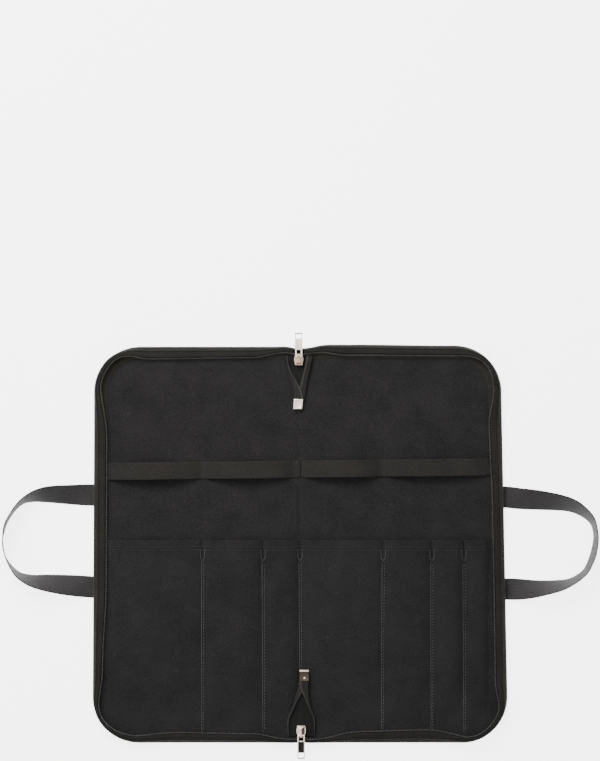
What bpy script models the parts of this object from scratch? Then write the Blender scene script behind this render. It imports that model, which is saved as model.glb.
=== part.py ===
"""Zipped canvas roll for kitchen tools, lying open and flat, with seven pockets, two elastics and two handles.

Metres, +Z up. The origin is on the resting surface under the middle of the whole object.
The fold of the roll runs along Y, and the handles reach out along X.
"""
import math

import bmesh
import bpy

# Sizes of the open roll
BODY_WIDTH = 0.472  # across both halves, at mid-length
BODY_LENGTH = 0.456  # along the fold
CORNER_RADIUS = 0.053
CORNER_STEPS = 8
LEFT_FLARE = 0.001  # how much further out the left side stands at its foot than at mid-length
RIGHT_FLARE = 0.0045  # the same for the right side

CLEARANCE = 0.0003  # gap between pieces that touch on the real roll
SHARP_ANGLE = 35  # degrees between two faces from which their edge is drawn sharp
PANEL_THICKNESS = 0.003  # outer canvas with its thin padding
LINING_THICKNESS = 0.0012

# Edge binding, an L that runs under the panel's edge and up its side
BINDING_THICKNESS = 0.0012
BINDING_WIDTH = 0.011

# Zip rim
TAPE_THICKNESS = 0.0012
RIM_WIDTH = 0.0165  # from the roll's edge to the inner side of the coil, where the tape leans in most
RIM_RISE = 0.010  # height of the tape's free edge over its foot, where it stands highest
RIM_CROWN = 1.1  # how high the tape would stand before it bends inwards, as a share of its rise
COIL_WIDTH = 0.0024
COIL_HEIGHT = 0.0022
COIL_SIDES = 8
COIL_GAP = 3 * CLEARANCE  # between the coil and the slider's post
TAPE_END_GAP = 2 * CLEARANCE  # between the slider's side and the end of the tape
PROFILE_STEPS = 4
TOP_STEPS = 8  # stations along the straight end edge of each half
SIDE_STEPS = 12

END_EASE = 0.05  # share of a half's edge over which its tape turns to the slider's height

# How each half's tape leans and rises on its way from the top slider round to the bottom one
# along: share of the half's edge; lean: share of RIM_WIDTH; rise: share of RIM_RISE
RIM_COLUMNS = ("along", "lean", "rise")
LEFT_RIM = (
    (0.00, 0.50, 0.42),
    (0.06, 0.88, 0.42),
    (0.19, 0.97, 0.42),
    (0.24, 0.45, 0.95),
    (0.28, 0.50, 0.90),
    (0.36, 0.96, 0.42),
    (0.55, 0.96, 0.42),
    (0.66, 0.74, 0.66),
    (0.73, 0.36, 1.00),
    (0.78, 0.56, 0.80),
    (0.84, 0.78, 0.50),
    (0.94, 0.70, 0.45),
    (1.00, 0.36, 0.42),
)
RIGHT_RIM = (
    (0.00, 0.55, 0.42),
    (0.06, 0.74, 0.50),
    (0.20, 0.76, 0.50),
    (0.25, 0.42, 0.95),
    (0.29, 0.60, 0.80),
    (0.34, 0.96, 0.42),
    (0.44, 0.84, 0.50),
    (0.56, 0.84, 0.50),
    (0.68, 0.88, 0.48),
    (0.73, 0.50, 0.90),
    (0.77, 0.42, 0.95),
    (0.84, 0.96, 0.42),
    (0.92, 0.86, 0.42),
    (1.00, 0.36, 0.42),
)

# Sliders and pulls
SLIDER_LENGTH = 0.013
SLIDER_WIDTH = 0.011
PLATE_THICKNESS = 0.001
POST_WIDTH = 0.0024
POST_SPAN = (0.15, 0.55)  # where the post stands, as shares of the slider's length from its outer end
COIL_ENTRY = (0.1, 0.3)  # where the coil has come into line in the slider and where it ends, as such shares
TOP_SLIDER_X = -0.0003
BOTTOM_SLIDER_X = 0.0025
TOP_SLIDER_INSET = 0.0092  # from the roll's edge to the slider's outer end
BOTTOM_SLIDER_INSET = 0.0065
# along: share of the length from the outer end; half: share of half the width
SLIDER_PLAN = ((0.0, 0.62), (0.12, 0.74), (0.45, 1.0), (0.8, 0.82), (1.0, 0.82))
BAIL_WIDTH = 0.0022
BAIL_WIRE = 0.001
BAIL_LENGTH = 0.0028  # room for the pull's bar, along the slider
BAIL_HEIGHT = 0.0026
BAR_SETBACK = 0.0026  # from the slider's outer end to the pull's bar
PULL_LENGTH = 0.0267  # from the bar to the tip
PULL_WIDTH = 0.0084
PULL_THICKNESS = 0.0014
PULL_BAR = 0.0015
EYE_WIDTH = 0.0046
EYE_LENGTH = 0.0064
WINDOW_LENGTH = 0.0052
WINDOW_RAIL = 0.001
TIP_BAR = 0.0013
PULL_SHOULDER = 0.0008  # chamfer at the pull's corners

# Folded end of the zip behind each slider
TAIL_TAPE = 0.001
TAIL_HALF_TAPE = 0.0165  # half the width of the closed zip, laid flat
TAIL_MOUTH = 0.0302  # width at the slider
TAIL_TIP = 0.0126  # width at the clip
TAIL_OVERLAP = 0.004  # how far the tail runs under the slider
TOP_TAIL_LENGTH = 0.0465
BOTTOM_TAIL_LENGTH = 0.0595
TOP_TAIL_DRIFT = -0.0009  # how far the tip stands to the side of the slider
BOTTOM_TAIL_DRIFT = 0.0036
CLIP_LENGTH = 0.0125
CLIP_WIDTH = 0.0118
CLIP_WALL = 0.0008
CLIP_GRIP = 0.004  # how much of the tail is inside the clip
# along: share of the tail's length from the slider; taper: share of the way from TAIL_MOUTH to TAIL_TIP
TAIL_TAPER = ((0.0, 0.0), (0.1, 0.06), (0.2, 0.20), (0.35, 0.45), (0.55, 0.76), (0.72, 0.93), (0.86, 1.0), (1.0, 1.0))

# Pocket panel
POCKET_HEIGHT = 0.229  # from the panel's foot to the pocket mouths
POCKET_CANVAS = 0.0013
POCKET_BORDER = 0.004  # from the roll's edge to the panel's own edge
POCKET_SIDE_INSET = 0.0168  # from the roll's edge to the first and last seam
POCKET_FULLNESS = 0.0068  # how high a pocket stands over its seams
POCKET_FOOT = 0.020  # length of the sewn foot under the zip rim
POCKET_RAMP = 0.065  # over which the fullness dies out towards the foot
POCKET_SQUARENESS = 3  # 2 gives a round pocket, more gives one with a flat middle
SEAM_WIDTH = 0.004
HEM_DEPTH = 0.0095
HEM_THICKNESS = 0.0022
POCKET_STEPS = 8  # steps across each pocket
RAMP_STEPS = 6  # steps along the ramp
POCKET_SHARES = (0.247, 0.159, 0.097, 0.218, 0.128, 0.084, 0.067)

# Elastics
ELASTIC_WIDTH = 0.020
ELASTIC_THICKNESS = 0.0012
ELASTIC_Y = 0.0865  # middle of the elastic, over the roll's middle
ELASTIC_SLOPE = 0.012  # rise along Y for each metre along X
ELASTIC_BOW = 0.0105  # how high a loop stands over its tacks
BOW_SQUARENESS = 2.5
ELASTIC_TACK = 0.005  # flat length at each tack
ELASTIC_STEPS = 9
# the tacks in line with pocket seams, by how many pockets lie to their left
LEFT_TACK_SEAM = 1
RIGHT_TACK_SEAM = 4
ELASTIC_END_INSET = 0.010  # from the roll's edge to the elastic's outer end, under the zip rim
ELASTIC_FOLD_GAP = 0.0036  # between the two elastics, over the fold

# Handles
WEBBING_WIDTH = 0.025
WEBBING_THICKNESS = 0.0012
LEG_SPACING = 0.106  # between the middles of a handle's legs, at the roll's edge
LEG_SPLAY = 0.0045  # how far out each sewn end stands from its leg at the edge
SEWN_LENGTH = 0.055
RECESS_DEPTH = 0.0015
LEFT_REACH = 0.106  # beyond the roll's edge
RIGHT_REACH = 0.106
LEFT_HANDLE_Y = 0.0032
RIGHT_HANDLE_Y = 0.0007
HANDLE_STEPS = 3  # stations between two rows of a table
# out: share of the reach; across: share of half the leg spacing; tilt: degrees from lying flat
HANDLE_COLUMNS = ("out", "across", "tilt")
LEFT_HANDLE = (
    (0.00, 1.00, 0),
    (0.04, 1.00, 0),
    (0.24, 1.01, 20),
    (0.46, 1.02, 35),
    (0.58, 1.00, 48),
    (0.68, 0.95, 63),
    (0.78, 0.85, 78),
    (0.87, 0.66, 86),
    (0.95, 0.38, 90),
    (0.98, 0.08, 97),
    (0.978, -0.12, 100),
    (0.95, -0.34, 98),
    (0.88, -0.57, 90),
    (0.80, -0.73, 80),
    (0.67, -0.84, 63),
    (0.53, -0.89, 46),
    (0.34, -0.94, 28),
    (0.04, -1.00, 0),
    (0.00, -1.00, 0),
)
RIGHT_HANDLE = (
    (0.00, 1.00, 0),
    (0.04, 1.00, 0),
    (0.18, 0.97, 8),
    (0.38, 0.94, 22),
    (0.60, 0.89, 39),
    (0.74, 0.82, 51),
    (0.84, 0.71, 62),
    (0.925, 0.56, 72),
    (0.972, 0.38, 82),
    (0.99, 0.12, 84),
    (0.965, -0.20, 82),
    (0.92, -0.44, 83),
    (0.875, -0.60, 83),
    (0.80, -0.73, 81),
    (0.71, -0.83, 76),
    (0.60, -0.90, 65),
    (0.42, -0.96, 50),
    (0.25, -0.99, 30),
    (0.04, -1.00, 0),
    (0.00, -1.00, 0),
)

# Heights over the resting surface, from the layers under them
LINING_BASE = PANEL_THICKNESS + CLEARANCE
LINING_TOP = LINING_BASE + LINING_THICKNESS
INSIDE_BASE = LINING_TOP + CLEARANCE  # where pieces that lie on the lining begin
POCKET_TOP = INSIDE_BASE + POCKET_CANVAS  # the pocket canvas where it is sewn down
TAIL_BASE = POCKET_TOP + CLEARANCE  # the tails' height at the sliders
SLIDER_BASE = TAIL_BASE + TAIL_TAPE + CLEARANCE
COIL_Z = SLIDER_BASE + PLATE_THICKNESS + CLEARANCE + COIL_HEIGHT / 2
SLIDER_TOP = COIL_Z + COIL_HEIGHT / 2 + CLEARANCE + PLATE_THICKNESS
BAR_Z = SLIDER_TOP + BAIL_HEIGHT / 2
CLIP_FLOOR = CLIP_WALL + CLEARANCE  # from what a clip lies on to the tape inside it
TOP_TIP_BASE = INSIDE_BASE + CLIP_FLOOR
BOTTOM_TIP_BASE = POCKET_TOP + POCKET_FULLNESS / 2 + CLEARANCE + CLIP_FLOOR
TAIL_STACK = 2 * TAIL_TAPE + CLEARANCE  # height of the folded tape

# The roll's middle stands off the origin by half the difference of what reaches out on each side
TOP_BAR_INSET = TOP_SLIDER_INSET + BAR_SETBACK
BOTTOM_BAR_INSET = BOTTOM_SLIDER_INSET + BAR_SETBACK
ROLL_X = (LEFT_REACH - RIGHT_REACH) / 2
ROLL_Y = (TOP_BAR_INSET - BOTTOM_BAR_INSET) / 2

# Colours: red, green and blue in linear light, roughness and metallic value
CANVAS = ((0.019, 0.019, 0.020), 0.92, 0.0)
LINING = ((0.022, 0.022, 0.023), 0.92, 0.0)
BINDING = ((0.030, 0.030, 0.027), 0.85, 0.0)
TAPE = ((0.034, 0.034, 0.031), 0.8, 0.0)
COIL = ((0.06, 0.06, 0.06), 0.45, 0.0)
ELASTIC = ((0.035, 0.033, 0.031), 0.85, 0.0)
WEBBING = ((0.045, 0.044, 0.043), 0.7, 0.0)
NICKEL = ((0.66, 0.61, 0.56), 0.3, 1.0)


def clear_scene():
    for old in list(bpy.data.objects):
        bpy.data.objects.remove(old, do_unlink=True)


def make_material(name, finish):
    colour, roughness, metallic = finish
    material = bpy.data.materials.new(name)
    material.use_nodes = True
    shader = material.node_tree.nodes["Principled BSDF"]
    shader.inputs["Base Color"].default_value = (*colour, 1.0)
    shader.inputs["Roughness"].default_value = roughness
    shader.inputs["Metallic"].default_value = metallic
    return material


def object_from(bm, name, finish, origin=(ROLL_X, ROLL_Y, 0.0)):
    """Close a bmesh as an object whose points are measured from origin; the roll's middle is the usual one."""
    bmesh.ops.recalc_face_normals(bm, faces=bm.faces)
    mesh = bpy.data.meshes.new(name)
    bm.to_mesh(mesh)
    bm.free()
    mesh.materials.append(make_material(name, finish))
    mesh.shade_smooth()
    mesh.set_sharp_from_angle(angle=math.radians(SHARP_ANGLE))
    piece = bpy.data.objects.new(name, mesh)
    piece.location = origin
    bpy.context.scene.collection.objects.link(piece)
    return piece


def loft(sections, closed=False):
    """A solid through equal sections. The second half of a section runs back along its first half."""
    bm = bmesh.new()
    rows = [[bm.verts.new(point) for point in section] for section in sections]
    count = len(rows[0])
    pairs = list(zip(rows, rows[1:]))
    if closed:
        pairs.append((rows[-1], rows[0]))
    for first, second in pairs:
        for i in range(count):
            j = (i + 1) % count
            bm.faces.new((first[i], first[j], second[j], second[i]))
    if not closed:
        for row in (rows[0], rows[-1]):
            for i in range(count // 2 - 1):
                bm.faces.new((row[i], row[i + 1], row[count - 2 - i], row[count - 1 - i]))
    return bm


def prism(points, low, high):
    """An outline drawn out upwards, from its face at low."""
    bm = bmesh.new()
    face = bm.faces.new([bm.verts.new((x, y, low)) for x, y in points])
    drawn = bmesh.ops.extrude_face_region(bm, geom=[face])
    top = [item for item in drawn["geom"] if isinstance(item, bmesh.types.BMVert)]
    bmesh.ops.translate(bm, verts=top, vec=(0, 0, high - low))
    return bm


def block(low, high):
    return prism(((low[0], low[1]), (high[0], low[1]), (high[0], high[1]), (low[0], high[1])), low[2], high[2])


def combine(piece, tool, operation):
    """Join a tool to a piece or cut it out, and keep the tool as a hidden guide."""
    tool.hide_render = True
    tool.display_type = "WIRE"
    step = piece.modifiers.new(tool.name, "BOOLEAN")
    step.operation = operation
    step.object = tool


def half_width(side, y):
    """From the roll's middle line to its left (-1) or right (1) edge."""
    flare = LEFT_FLARE if side < 0 else RIGHT_FLARE
    return BODY_WIDTH / 2 - flare * y / (BODY_LENGTH / 2)


def corner(side, end):
    """Middle of a corner's round; end is 1 at the top and -1 at the bottom."""
    y = end * (BODY_LENGTH / 2 - CORNER_RADIUS)
    return side * (half_width(side, y) - CORNER_RADIUS), y


def outline(inset):
    """The roll's outline moved in by inset, anticlockwise."""
    points = []
    for turn, (side, end) in enumerate(((1, 1), (-1, 1), (-1, -1), (1, -1))):
        x, y = corner(side, end)
        for step in range(CORNER_STEPS + 1):
            angle = math.radians(90 * (turn + step / CORNER_STEPS))
            radius = CORNER_RADIUS - inset
            points.append((x + radius * math.cos(angle), y + radius * math.sin(angle)))
    return points


def slab(rings):
    """A solid through outlines, each given by its inset and height, closed by its first and last."""
    bm = bmesh.new()
    rows = [[bm.verts.new((x, y, z)) for x, y in outline(inset)] for inset, z in rings]
    for first, second in zip(rows, rows[1:]):
        for i in range(len(first)):
            j = (i + 1) % len(first)
            bm.faces.new((first[i], first[j], second[j], second[i]))
    bm.faces.new(rows[0])
    bm.faces.new(rows[-1])
    return bm


def read_table(rows, along, column):
    """A column's value between the rows of a table, eased from each row to the next."""
    for before, after in zip(rows, rows[1:]):
        if along <= after[0]:
            share = (along - before[0]) / (after[0] - before[0])
            share = share * share * (3 - 2 * share)
            return before[column] + (after[column] - before[column]) * share
    return rows[-1][column]


def edge_stations(side):
    """Points of a half's edge from the top slider round to the bottom one, with the way inwards and the share."""
    x_top, y_top = corner(side, 1)
    x_bottom, y_bottom = corner(side, -1)
    half = BODY_LENGTH / 2
    gap = SLIDER_WIDTH / 2 + TAPE_END_GAP
    start, finish = TOP_SLIDER_X + side * gap, BOTTOM_SLIDER_X + side * gap
    stations = []
    for step in range(TOP_STEPS):
        stations.append((start + (x_top - start) * step / TOP_STEPS, half, 0.0, -1.0))
    for step in range(CORNER_STEPS):
        angle = math.radians(90 * (1 - step / CORNER_STEPS))
        nx, ny = side * math.cos(angle), math.sin(angle)
        stations.append((x_top + CORNER_RADIUS * nx, y_top + CORNER_RADIUS * ny, -nx, -ny))
    for step in range(SIDE_STEPS):
        y = y_top + (y_bottom - y_top) * step / SIDE_STEPS
        stations.append((side * half_width(side, y), y, -side, 0.0))
    for step in range(CORNER_STEPS):
        angle = math.radians(-90 * step / CORNER_STEPS)
        nx, ny = side * math.cos(angle), math.sin(angle)
        stations.append((x_bottom + CORNER_RADIUS * nx, y_bottom + CORNER_RADIUS * ny, -nx, -ny))
    for step in range(TOP_STEPS + 1):
        stations.append((x_bottom + (finish - x_bottom) * step / TOP_STEPS, -half, 0.0, 1.0))
    walked = [0.0]
    for before, after in zip(stations, stations[1:]):
        walked.append(walked[-1] + math.dist(before[:2], after[:2]))
    return [(*station, length / walked[-1]) for station, length in zip(stations, walked)]


def tape_profile(lean, rise):
    """The tape's section from foot to free edge: (inset, height) down its outer face and back up its inner one."""
    foot = (CLEARANCE, INSIDE_BASE)
    crown = (CLEARANCE, INSIDE_BASE + RIM_CROWN * rise)
    free = (lean - COIL_WIDTH - CLEARANCE, INSIDE_BASE + rise)
    outer, inner = [], []
    for step in range(PROFILE_STEPS + 1):
        t = step / PROFILE_STEPS
        inset = (1 - t) ** 2 * foot[0] + 2 * t * (1 - t) * crown[0] + t * t * free[0]
        height = (1 - t) ** 2 * foot[1] + 2 * t * (1 - t) * crown[1] + t * t * free[1]
        along_inset = 2 * (1 - t) * (crown[0] - foot[0]) + 2 * t * (free[0] - crown[0])
        along_height = 2 * (1 - t) * (crown[1] - foot[1]) + 2 * t * (free[1] - crown[1])
        length = math.hypot(along_inset, along_height)
        outer.append((inset, height))
        inner.append((inset + TAPE_THICKNESS * along_height / length, height - TAPE_THICKNESS * along_inset / length))
    return outer + inner[::-1]


def build_shell():
    """The padded outside and the lining, two flat sheets with rounded corners."""
    ledge = BINDING_THICKNESS + CLEARANCE
    outer = slab((
        (BINDING_WIDTH + CLEARANCE, 0.0),
        (BINDING_WIDTH + CLEARANCE, ledge),
        (ledge, ledge),
        (ledge, PANEL_THICKNESS),
    ))
    lining = slab(((ledge, LINING_BASE), (ledge, LINING_TOP)))
    binding_sections = []
    rings = (
        (BINDING_WIDTH, 0.0), (0.0, 0.0), (0.0, LINING_TOP),
        (BINDING_THICKNESS, LINING_TOP), (BINDING_THICKNESS, BINDING_THICKNESS), (BINDING_WIDTH, BINDING_THICKNESS),
    )
    outlines = [(outline(inset), z) for inset, z in rings]
    for i in range(len(outlines[0][0])):
        binding_sections.append([(*points[i], z) for points, z in outlines])
    outer_panel = object_from(outer, "outer_panel", CANVAS)
    object_from(lining, "lining_panel", LINING)
    edge_binding = object_from(loft(binding_sections, closed=True), "edge_binding", BINDING)
    return outer_panel, edge_binding


def build_zip_half(side, name, rim):
    """A tape that stands on the edge and leans in, and the coil along its free edge."""
    sections, coil_line = [], []
    slider_rise = COIL_Z - INSIDE_BASE + TAPE_THICKNESS / 2
    for x, y, inward_x, inward_y, along in edge_stations(side):
        lean = RIM_WIDTH * read_table(rim, along, RIM_COLUMNS.index("lean"))
        rise = RIM_RISE * read_table(rim, along, RIM_COLUMNS.index("rise"))
        slider_inset = TOP_SLIDER_INSET if along < 0.5 else BOTTOM_SLIDER_INSET
        free = smooth_step(min(along, 1 - along) / END_EASE)
        lean = slider_inset - COIL_WIDTH / 2 + (lean - slider_inset + COIL_WIDTH / 2) * free
        rise = slider_rise + (rise - slider_rise) * free
        profile = tape_profile(lean, rise)
        sections.append([(x + inward_x * inset, y + inward_y * inset, z) for inset, z in profile])
        middle = lean - COIL_WIDTH / 2
        height = INSIDE_BASE + rise - TAPE_THICKNESS / 2
        coil_line.append((x + inward_x * middle, y + inward_y * middle, height))
    object_from(loft(sections), "zip_tape_" + name, TAPE)
    half = BODY_LENGTH / 2
    spread = POST_WIDTH / 2 + COIL_WIDTH / 2 + COIL_GAP
    bend, stop = (SLIDER_LENGTH * share for share in COIL_ENTRY)
    top_y, bottom_y = half - TOP_SLIDER_INSET, -half + BOTTOM_SLIDER_INSET
    top_lane, bottom_lane = TOP_SLIDER_X + side * spread, BOTTOM_SLIDER_X + side * spread
    lead_in = [(top_lane, top_y - stop, COIL_Z), (top_lane, top_y - bend, COIL_Z)]
    lead_out = [(bottom_lane, bottom_y + bend, COIL_Z), (bottom_lane, bottom_y + stop, COIL_Z)]
    object_from(loft(coil_sections(lead_in + coil_line + lead_out)), "zip_chain_" + name, COIL)


def coil_sections(line):
    """Sections square to a line, each level across its width."""
    sections = []
    for i, point in enumerate(line):
        before, after = line[max(i - 1, 0)], line[min(i + 1, len(line) - 1)]
        length = math.dist(before[:2], after[:2])
        across_x, across_y = -(after[1] - before[1]) / length, (after[0] - before[0]) / length
        section = []
        for corner_step in range(COIL_SIDES):
            angle = math.radians(360 / COIL_SIDES * (corner_step + 0.5))
            sideways = COIL_WIDTH / 2 * math.cos(angle)
            section.append((
                point[0] + across_x * sideways,
                point[1] + across_y * sideways,
                point[2] + COIL_HEIGHT / 2 * math.sin(angle),
            ))
        sections.append(section)
    return sections


def build_slider(name, x, end, inset):
    """Two plates held apart by a post, with a bail on top; end is 1 at the roll's top and -1 at its bottom."""
    mouth = end * (BODY_LENGTH / 2 - inset)

    def along(distance):
        return mouth - end * distance

    plan = [(x + SLIDER_WIDTH / 2 * half, along(SLIDER_LENGTH * share)) for share, half in SLIDER_PLAN]
    plan += [(x - SLIDER_WIDTH / 2 * half, along(SLIDER_LENGTH * share)) for share, half in SLIDER_PLAN[::-1]]
    slider = object_from(prism(plan, SLIDER_BASE, SLIDER_BASE + PLATE_THICKNESS), name, NICKEL)
    top_plate = object_from(prism(plan, SLIDER_TOP - PLATE_THICKNESS, SLIDER_TOP), name + "_top_plate", NICKEL)
    post_start, post_end = sorted(along(SLIDER_LENGTH * share) for share in POST_SPAN)
    post = block(
        (x - POST_WIDTH / 2, post_start, SLIDER_BASE + PLATE_THICKNESS / 2),
        (x + POST_WIDTH / 2, post_end, SLIDER_TOP - PLATE_THICKNESS / 2),
    )
    bail_half = BAIL_LENGTH / 2 + BAIL_WIRE
    bar_y = along(BAR_SETBACK)
    bail = block(
        (x - BAIL_WIDTH / 2, bar_y - bail_half, SLIDER_TOP - PLATE_THICKNESS / 2),
        (x + BAIL_WIDTH / 2, bar_y + bail_half, SLIDER_TOP + BAIL_HEIGHT + BAIL_WIRE),
    )
    bail_hole = block(
        (x - BAIL_WIDTH, bar_y - BAIL_LENGTH / 2, SLIDER_TOP),
        (x + BAIL_WIDTH, bar_y + BAIL_LENGTH / 2, SLIDER_TOP + BAIL_HEIGHT),
    )
    combine(slider, top_plate, "UNION")
    combine(slider, object_from(post, name + "_post", NICKEL), "UNION")
    combine(slider, object_from(bail, name + "_bail", NICKEL), "UNION")
    combine(slider, object_from(bail_hole, name + "_bail_hole", NICKEL), "DIFFERENCE")


def build_pull(name, x, end, bar_inset):
    """A flat pull with an eye round the bail and a window at its tip; its origin is on its hinge."""
    origin = (ROLL_X + x, ROLL_Y + end * (BODY_LENGTH / 2 - bar_inset), BAR_Z)
    heel = -PULL_BAR / 2
    half, thick, cut = PULL_WIDTH / 2, PULL_THICKNESS / 2, PULL_SHOULDER
    plan = [
        (half - cut / 2, heel), (half, heel + cut), (half, PULL_LENGTH - cut), (half - cut, PULL_LENGTH),
        (-half + cut, PULL_LENGTH), (-half, PULL_LENGTH - cut), (-half, heel + cut), (-half + cut / 2, heel),
    ]
    pull = object_from(prism([(px, end * py) for px, py in plan], -thick, thick), name, NICKEL, origin)
    window_top = PULL_LENGTH - TIP_BAR
    holes = (
        ("eye", EYE_WIDTH / 2, -heel, -heel + EYE_LENGTH),
        ("window", half - WINDOW_RAIL, window_top - WINDOW_LENGTH, window_top),
    )
    for label, half_hole, near, far in holes:
        low, high = sorted((end * near, end * far))
        hole = block((-half_hole, low, -2 * thick), (half_hole, high, 2 * thick))
        combine(pull, object_from(hole, name + "_" + label, NICKEL, origin), "DIFFERENCE")


def fold_tail(x, end, inset, length, drift, tip_base):
    """The closed zip behind a slider: its two tapes folded in over its middle, tapering to the clip."""
    start = end * (BODY_LENGTH / 2 - inset - SLIDER_LENGTH + TAIL_OVERLAP)
    level_to, straight_from = TAIL_TAPER[1][0], TAIL_TAPER[-2][0]
    sections = []
    for share, taper in TAIL_TAPER:
        turned = min(share / straight_from, 1.0)
        middle = x + drift * turned
        y = start - end * length * share
        half = (TAIL_MOUTH + (TAIL_TIP - TAIL_MOUTH) * taper) / 2
        wing = min(TAIL_HALF_TAPE - half, half - CLEARANCE)
        climbed = min(max(share - level_to, 0.0) / (straight_from - level_to), 1.0)
        base = TAIL_BASE + (tip_base - TAIL_BASE) * climbed
        top = base + TAIL_STACK
        outer = ((half - wing, top), (half, top), (half, base))
        inner = ((half - TAIL_TAPE, base + TAIL_TAPE), (half - TAIL_TAPE, top - TAIL_TAPE), (half - wing, top - TAIL_TAPE))
        path = [(-side, z) for side, z in outer] + list(outer[::-1])
        path += [(side, z) for side, z in inner[::-1]] + [(-side, z) for side, z in inner]
        sections.append([(middle + side, y, z) for side, z in path])
    return sections


def build_tail(name, x, end, inset, length, drift, tip_base):
    """A folded tail and the clip bent round its tip."""
    sections = fold_tail(x, end, inset, length, drift, tip_base)
    object_from(loft(sections), "zip_tail_" + name, TAPE)
    middle = x + drift
    tip = sections[-1][0][1]
    mouth_y, back_y = tip + end * CLIP_GRIP, tip + end * (CLIP_GRIP - CLIP_LENGTH)
    low, high = tip_base - CLIP_FLOOR, tip_base + TAIL_STACK + CLIP_FLOOR
    near, far = sorted((mouth_y, back_y))
    clip = object_from(
        block((middle - CLIP_WIDTH / 2, near, low), (middle + CLIP_WIDTH / 2, far, high)), "tail_clip_" + name, NICKEL)
    near, far = sorted((mouth_y + end * CLIP_WALL, tip - end * CLEARANCE))
    slot = block((middle - CLIP_WIDTH, near, low + CLIP_WALL), (middle + CLIP_WIDTH, far, high - CLIP_WALL))
    combine(clip, object_from(slot, "tail_clip_" + name + "_slot", NICKEL), "DIFFERENCE")


def pocket_seams():
    """Where the pocket seams run, from the left side to the right."""
    left = POCKET_SIDE_INSET - BODY_WIDTH / 2
    seams = [left]
    for share in POCKET_SHARES:
        seams.append(seams[-1] + share / sum(POCKET_SHARES) * (BODY_WIDTH - 2 * POCKET_SIDE_INSET))
    return seams


def smooth_step(share):
    share = min(max(share, 0.0), 1.0)
    return share * share * (3 - 2 * share)


def build_pockets():
    """One sheet, full between its seams and flat at its foot, with its corners rounded like the roll's."""
    seams = pocket_seams()
    across = [(-BODY_WIDTH / 2 - RIGHT_FLARE, 0.0)]
    for left, right in zip(seams, seams[1:]):
        left, right = left + SEAM_WIDTH / 2, right - SEAM_WIDTH / 2
        for step in range(POCKET_STEPS + 1):
            turn = 2 * step / POCKET_STEPS - 1
            across.append((left + (right - left) * step / POCKET_STEPS, 1 - abs(turn) ** POCKET_SQUARENESS))
    across.append((BODY_WIDTH / 2 + RIGHT_FLARE, 0.0))
    foot = -BODY_LENGTH / 2
    mouth = foot + POCKET_BORDER + POCKET_HEIGHT
    rows = [(foot, 0.0, POCKET_CANVAS)]
    for step in range(RAMP_STEPS + 1):
        share = step / RAMP_STEPS
        rows.append((foot + POCKET_FOOT + POCKET_RAMP * share, smooth_step(share), POCKET_CANVAS))
    rows.append((mouth - HEM_DEPTH, 1.0, POCKET_CANVAS))
    rows.append((mouth - HEM_DEPTH + CLEARANCE, 1.0, HEM_THICKNESS))
    rows.append((mouth, 1.0, HEM_THICKNESS))
    sections = []
    for y, fullness, thickness in rows:
        heights = [INSIDE_BASE + POCKET_FULLNESS * fullness * share for _, share in across]
        upper = [(x, y, z + thickness) for (x, _), z in zip(across, heights)]
        lower = [(x, y, z) for (x, _), z in zip(across, heights)]
        sections.append(upper + lower[::-1])
    panel = object_from(loft(sections), "pocket_panel", LINING)
    room = prism(outline(POCKET_BORDER), 0.0, POCKET_TOP + 2 * POCKET_FULLNESS)
    combine(panel, object_from(room, "pocket_corners", LINING), "INTERSECT")


def build_elastic(name, tacks):
    """A strip of elastic that bows up between its tacks."""
    line = []
    for left, right in zip(tacks, tacks[1:]):
        left, right = left + ELASTIC_TACK / 2, right - ELASTIC_TACK / 2
        for step in range(ELASTIC_STEPS + 1):
            turn = 2 * step / ELASTIC_STEPS - 1
            line.append((left + (right - left) * step / ELASTIC_STEPS, 1 - abs(turn) ** BOW_SQUARENESS))
    line = [(tacks[0] - ELASTIC_TACK / 2, 0.0)] + line + [(tacks[-1] + ELASTIC_TACK / 2, 0.0)]
    sections = []
    for x, bow in line:
        y = ELASTIC_Y + ELASTIC_SLOPE * x
        z = INSIDE_BASE + ELASTIC_BOW * bow
        near, far, top = y - ELASTIC_WIDTH / 2, y + ELASTIC_WIDTH / 2, z + ELASTIC_THICKNESS
        sections.append([(x, near, top), (x, far, top), (x, far, z), (x, near, z)])
    object_from(loft(sections), "elastic_" + name, ELASTIC)


def build_elastics():
    """The left and the right elastic, which leave the fold free."""
    seams = pocket_seams()
    end = half_width(-1, ELASTIC_Y) - ELASTIC_END_INSET - ELASTIC_TACK / 2
    fold = (ELASTIC_FOLD_GAP + ELASTIC_TACK) / 2
    build_elastic("left", (-end, seams[LEFT_TACK_SEAM], -fold))
    end = half_width(1, ELASTIC_Y) - ELASTIC_END_INSET - ELASTIC_TACK / 2
    build_elastic("right", (fold, seams[RIGHT_TACK_SEAM], end))


def smooth_rows(rows):
    """Rows read from a smooth curve through a table's rows."""
    padded = (rows[0],) + rows + (rows[-1],)
    result = []
    for i in range(1, len(padded) - 2):
        before, first, second, after = padded[i - 1:i + 3]
        for step in range(HANDLE_STEPS):
            t = step / HANDLE_STEPS
            result.append([
                0.5 * (2 * b + (c - a) * t + (2 * a - 5 * b + 4 * c - d) * t * t + (3 * b - a - 3 * c + d) * t ** 3)
                for a, b, c, d in zip(before, first, second, after)
            ])
    return result + [list(rows[-1])]


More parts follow.
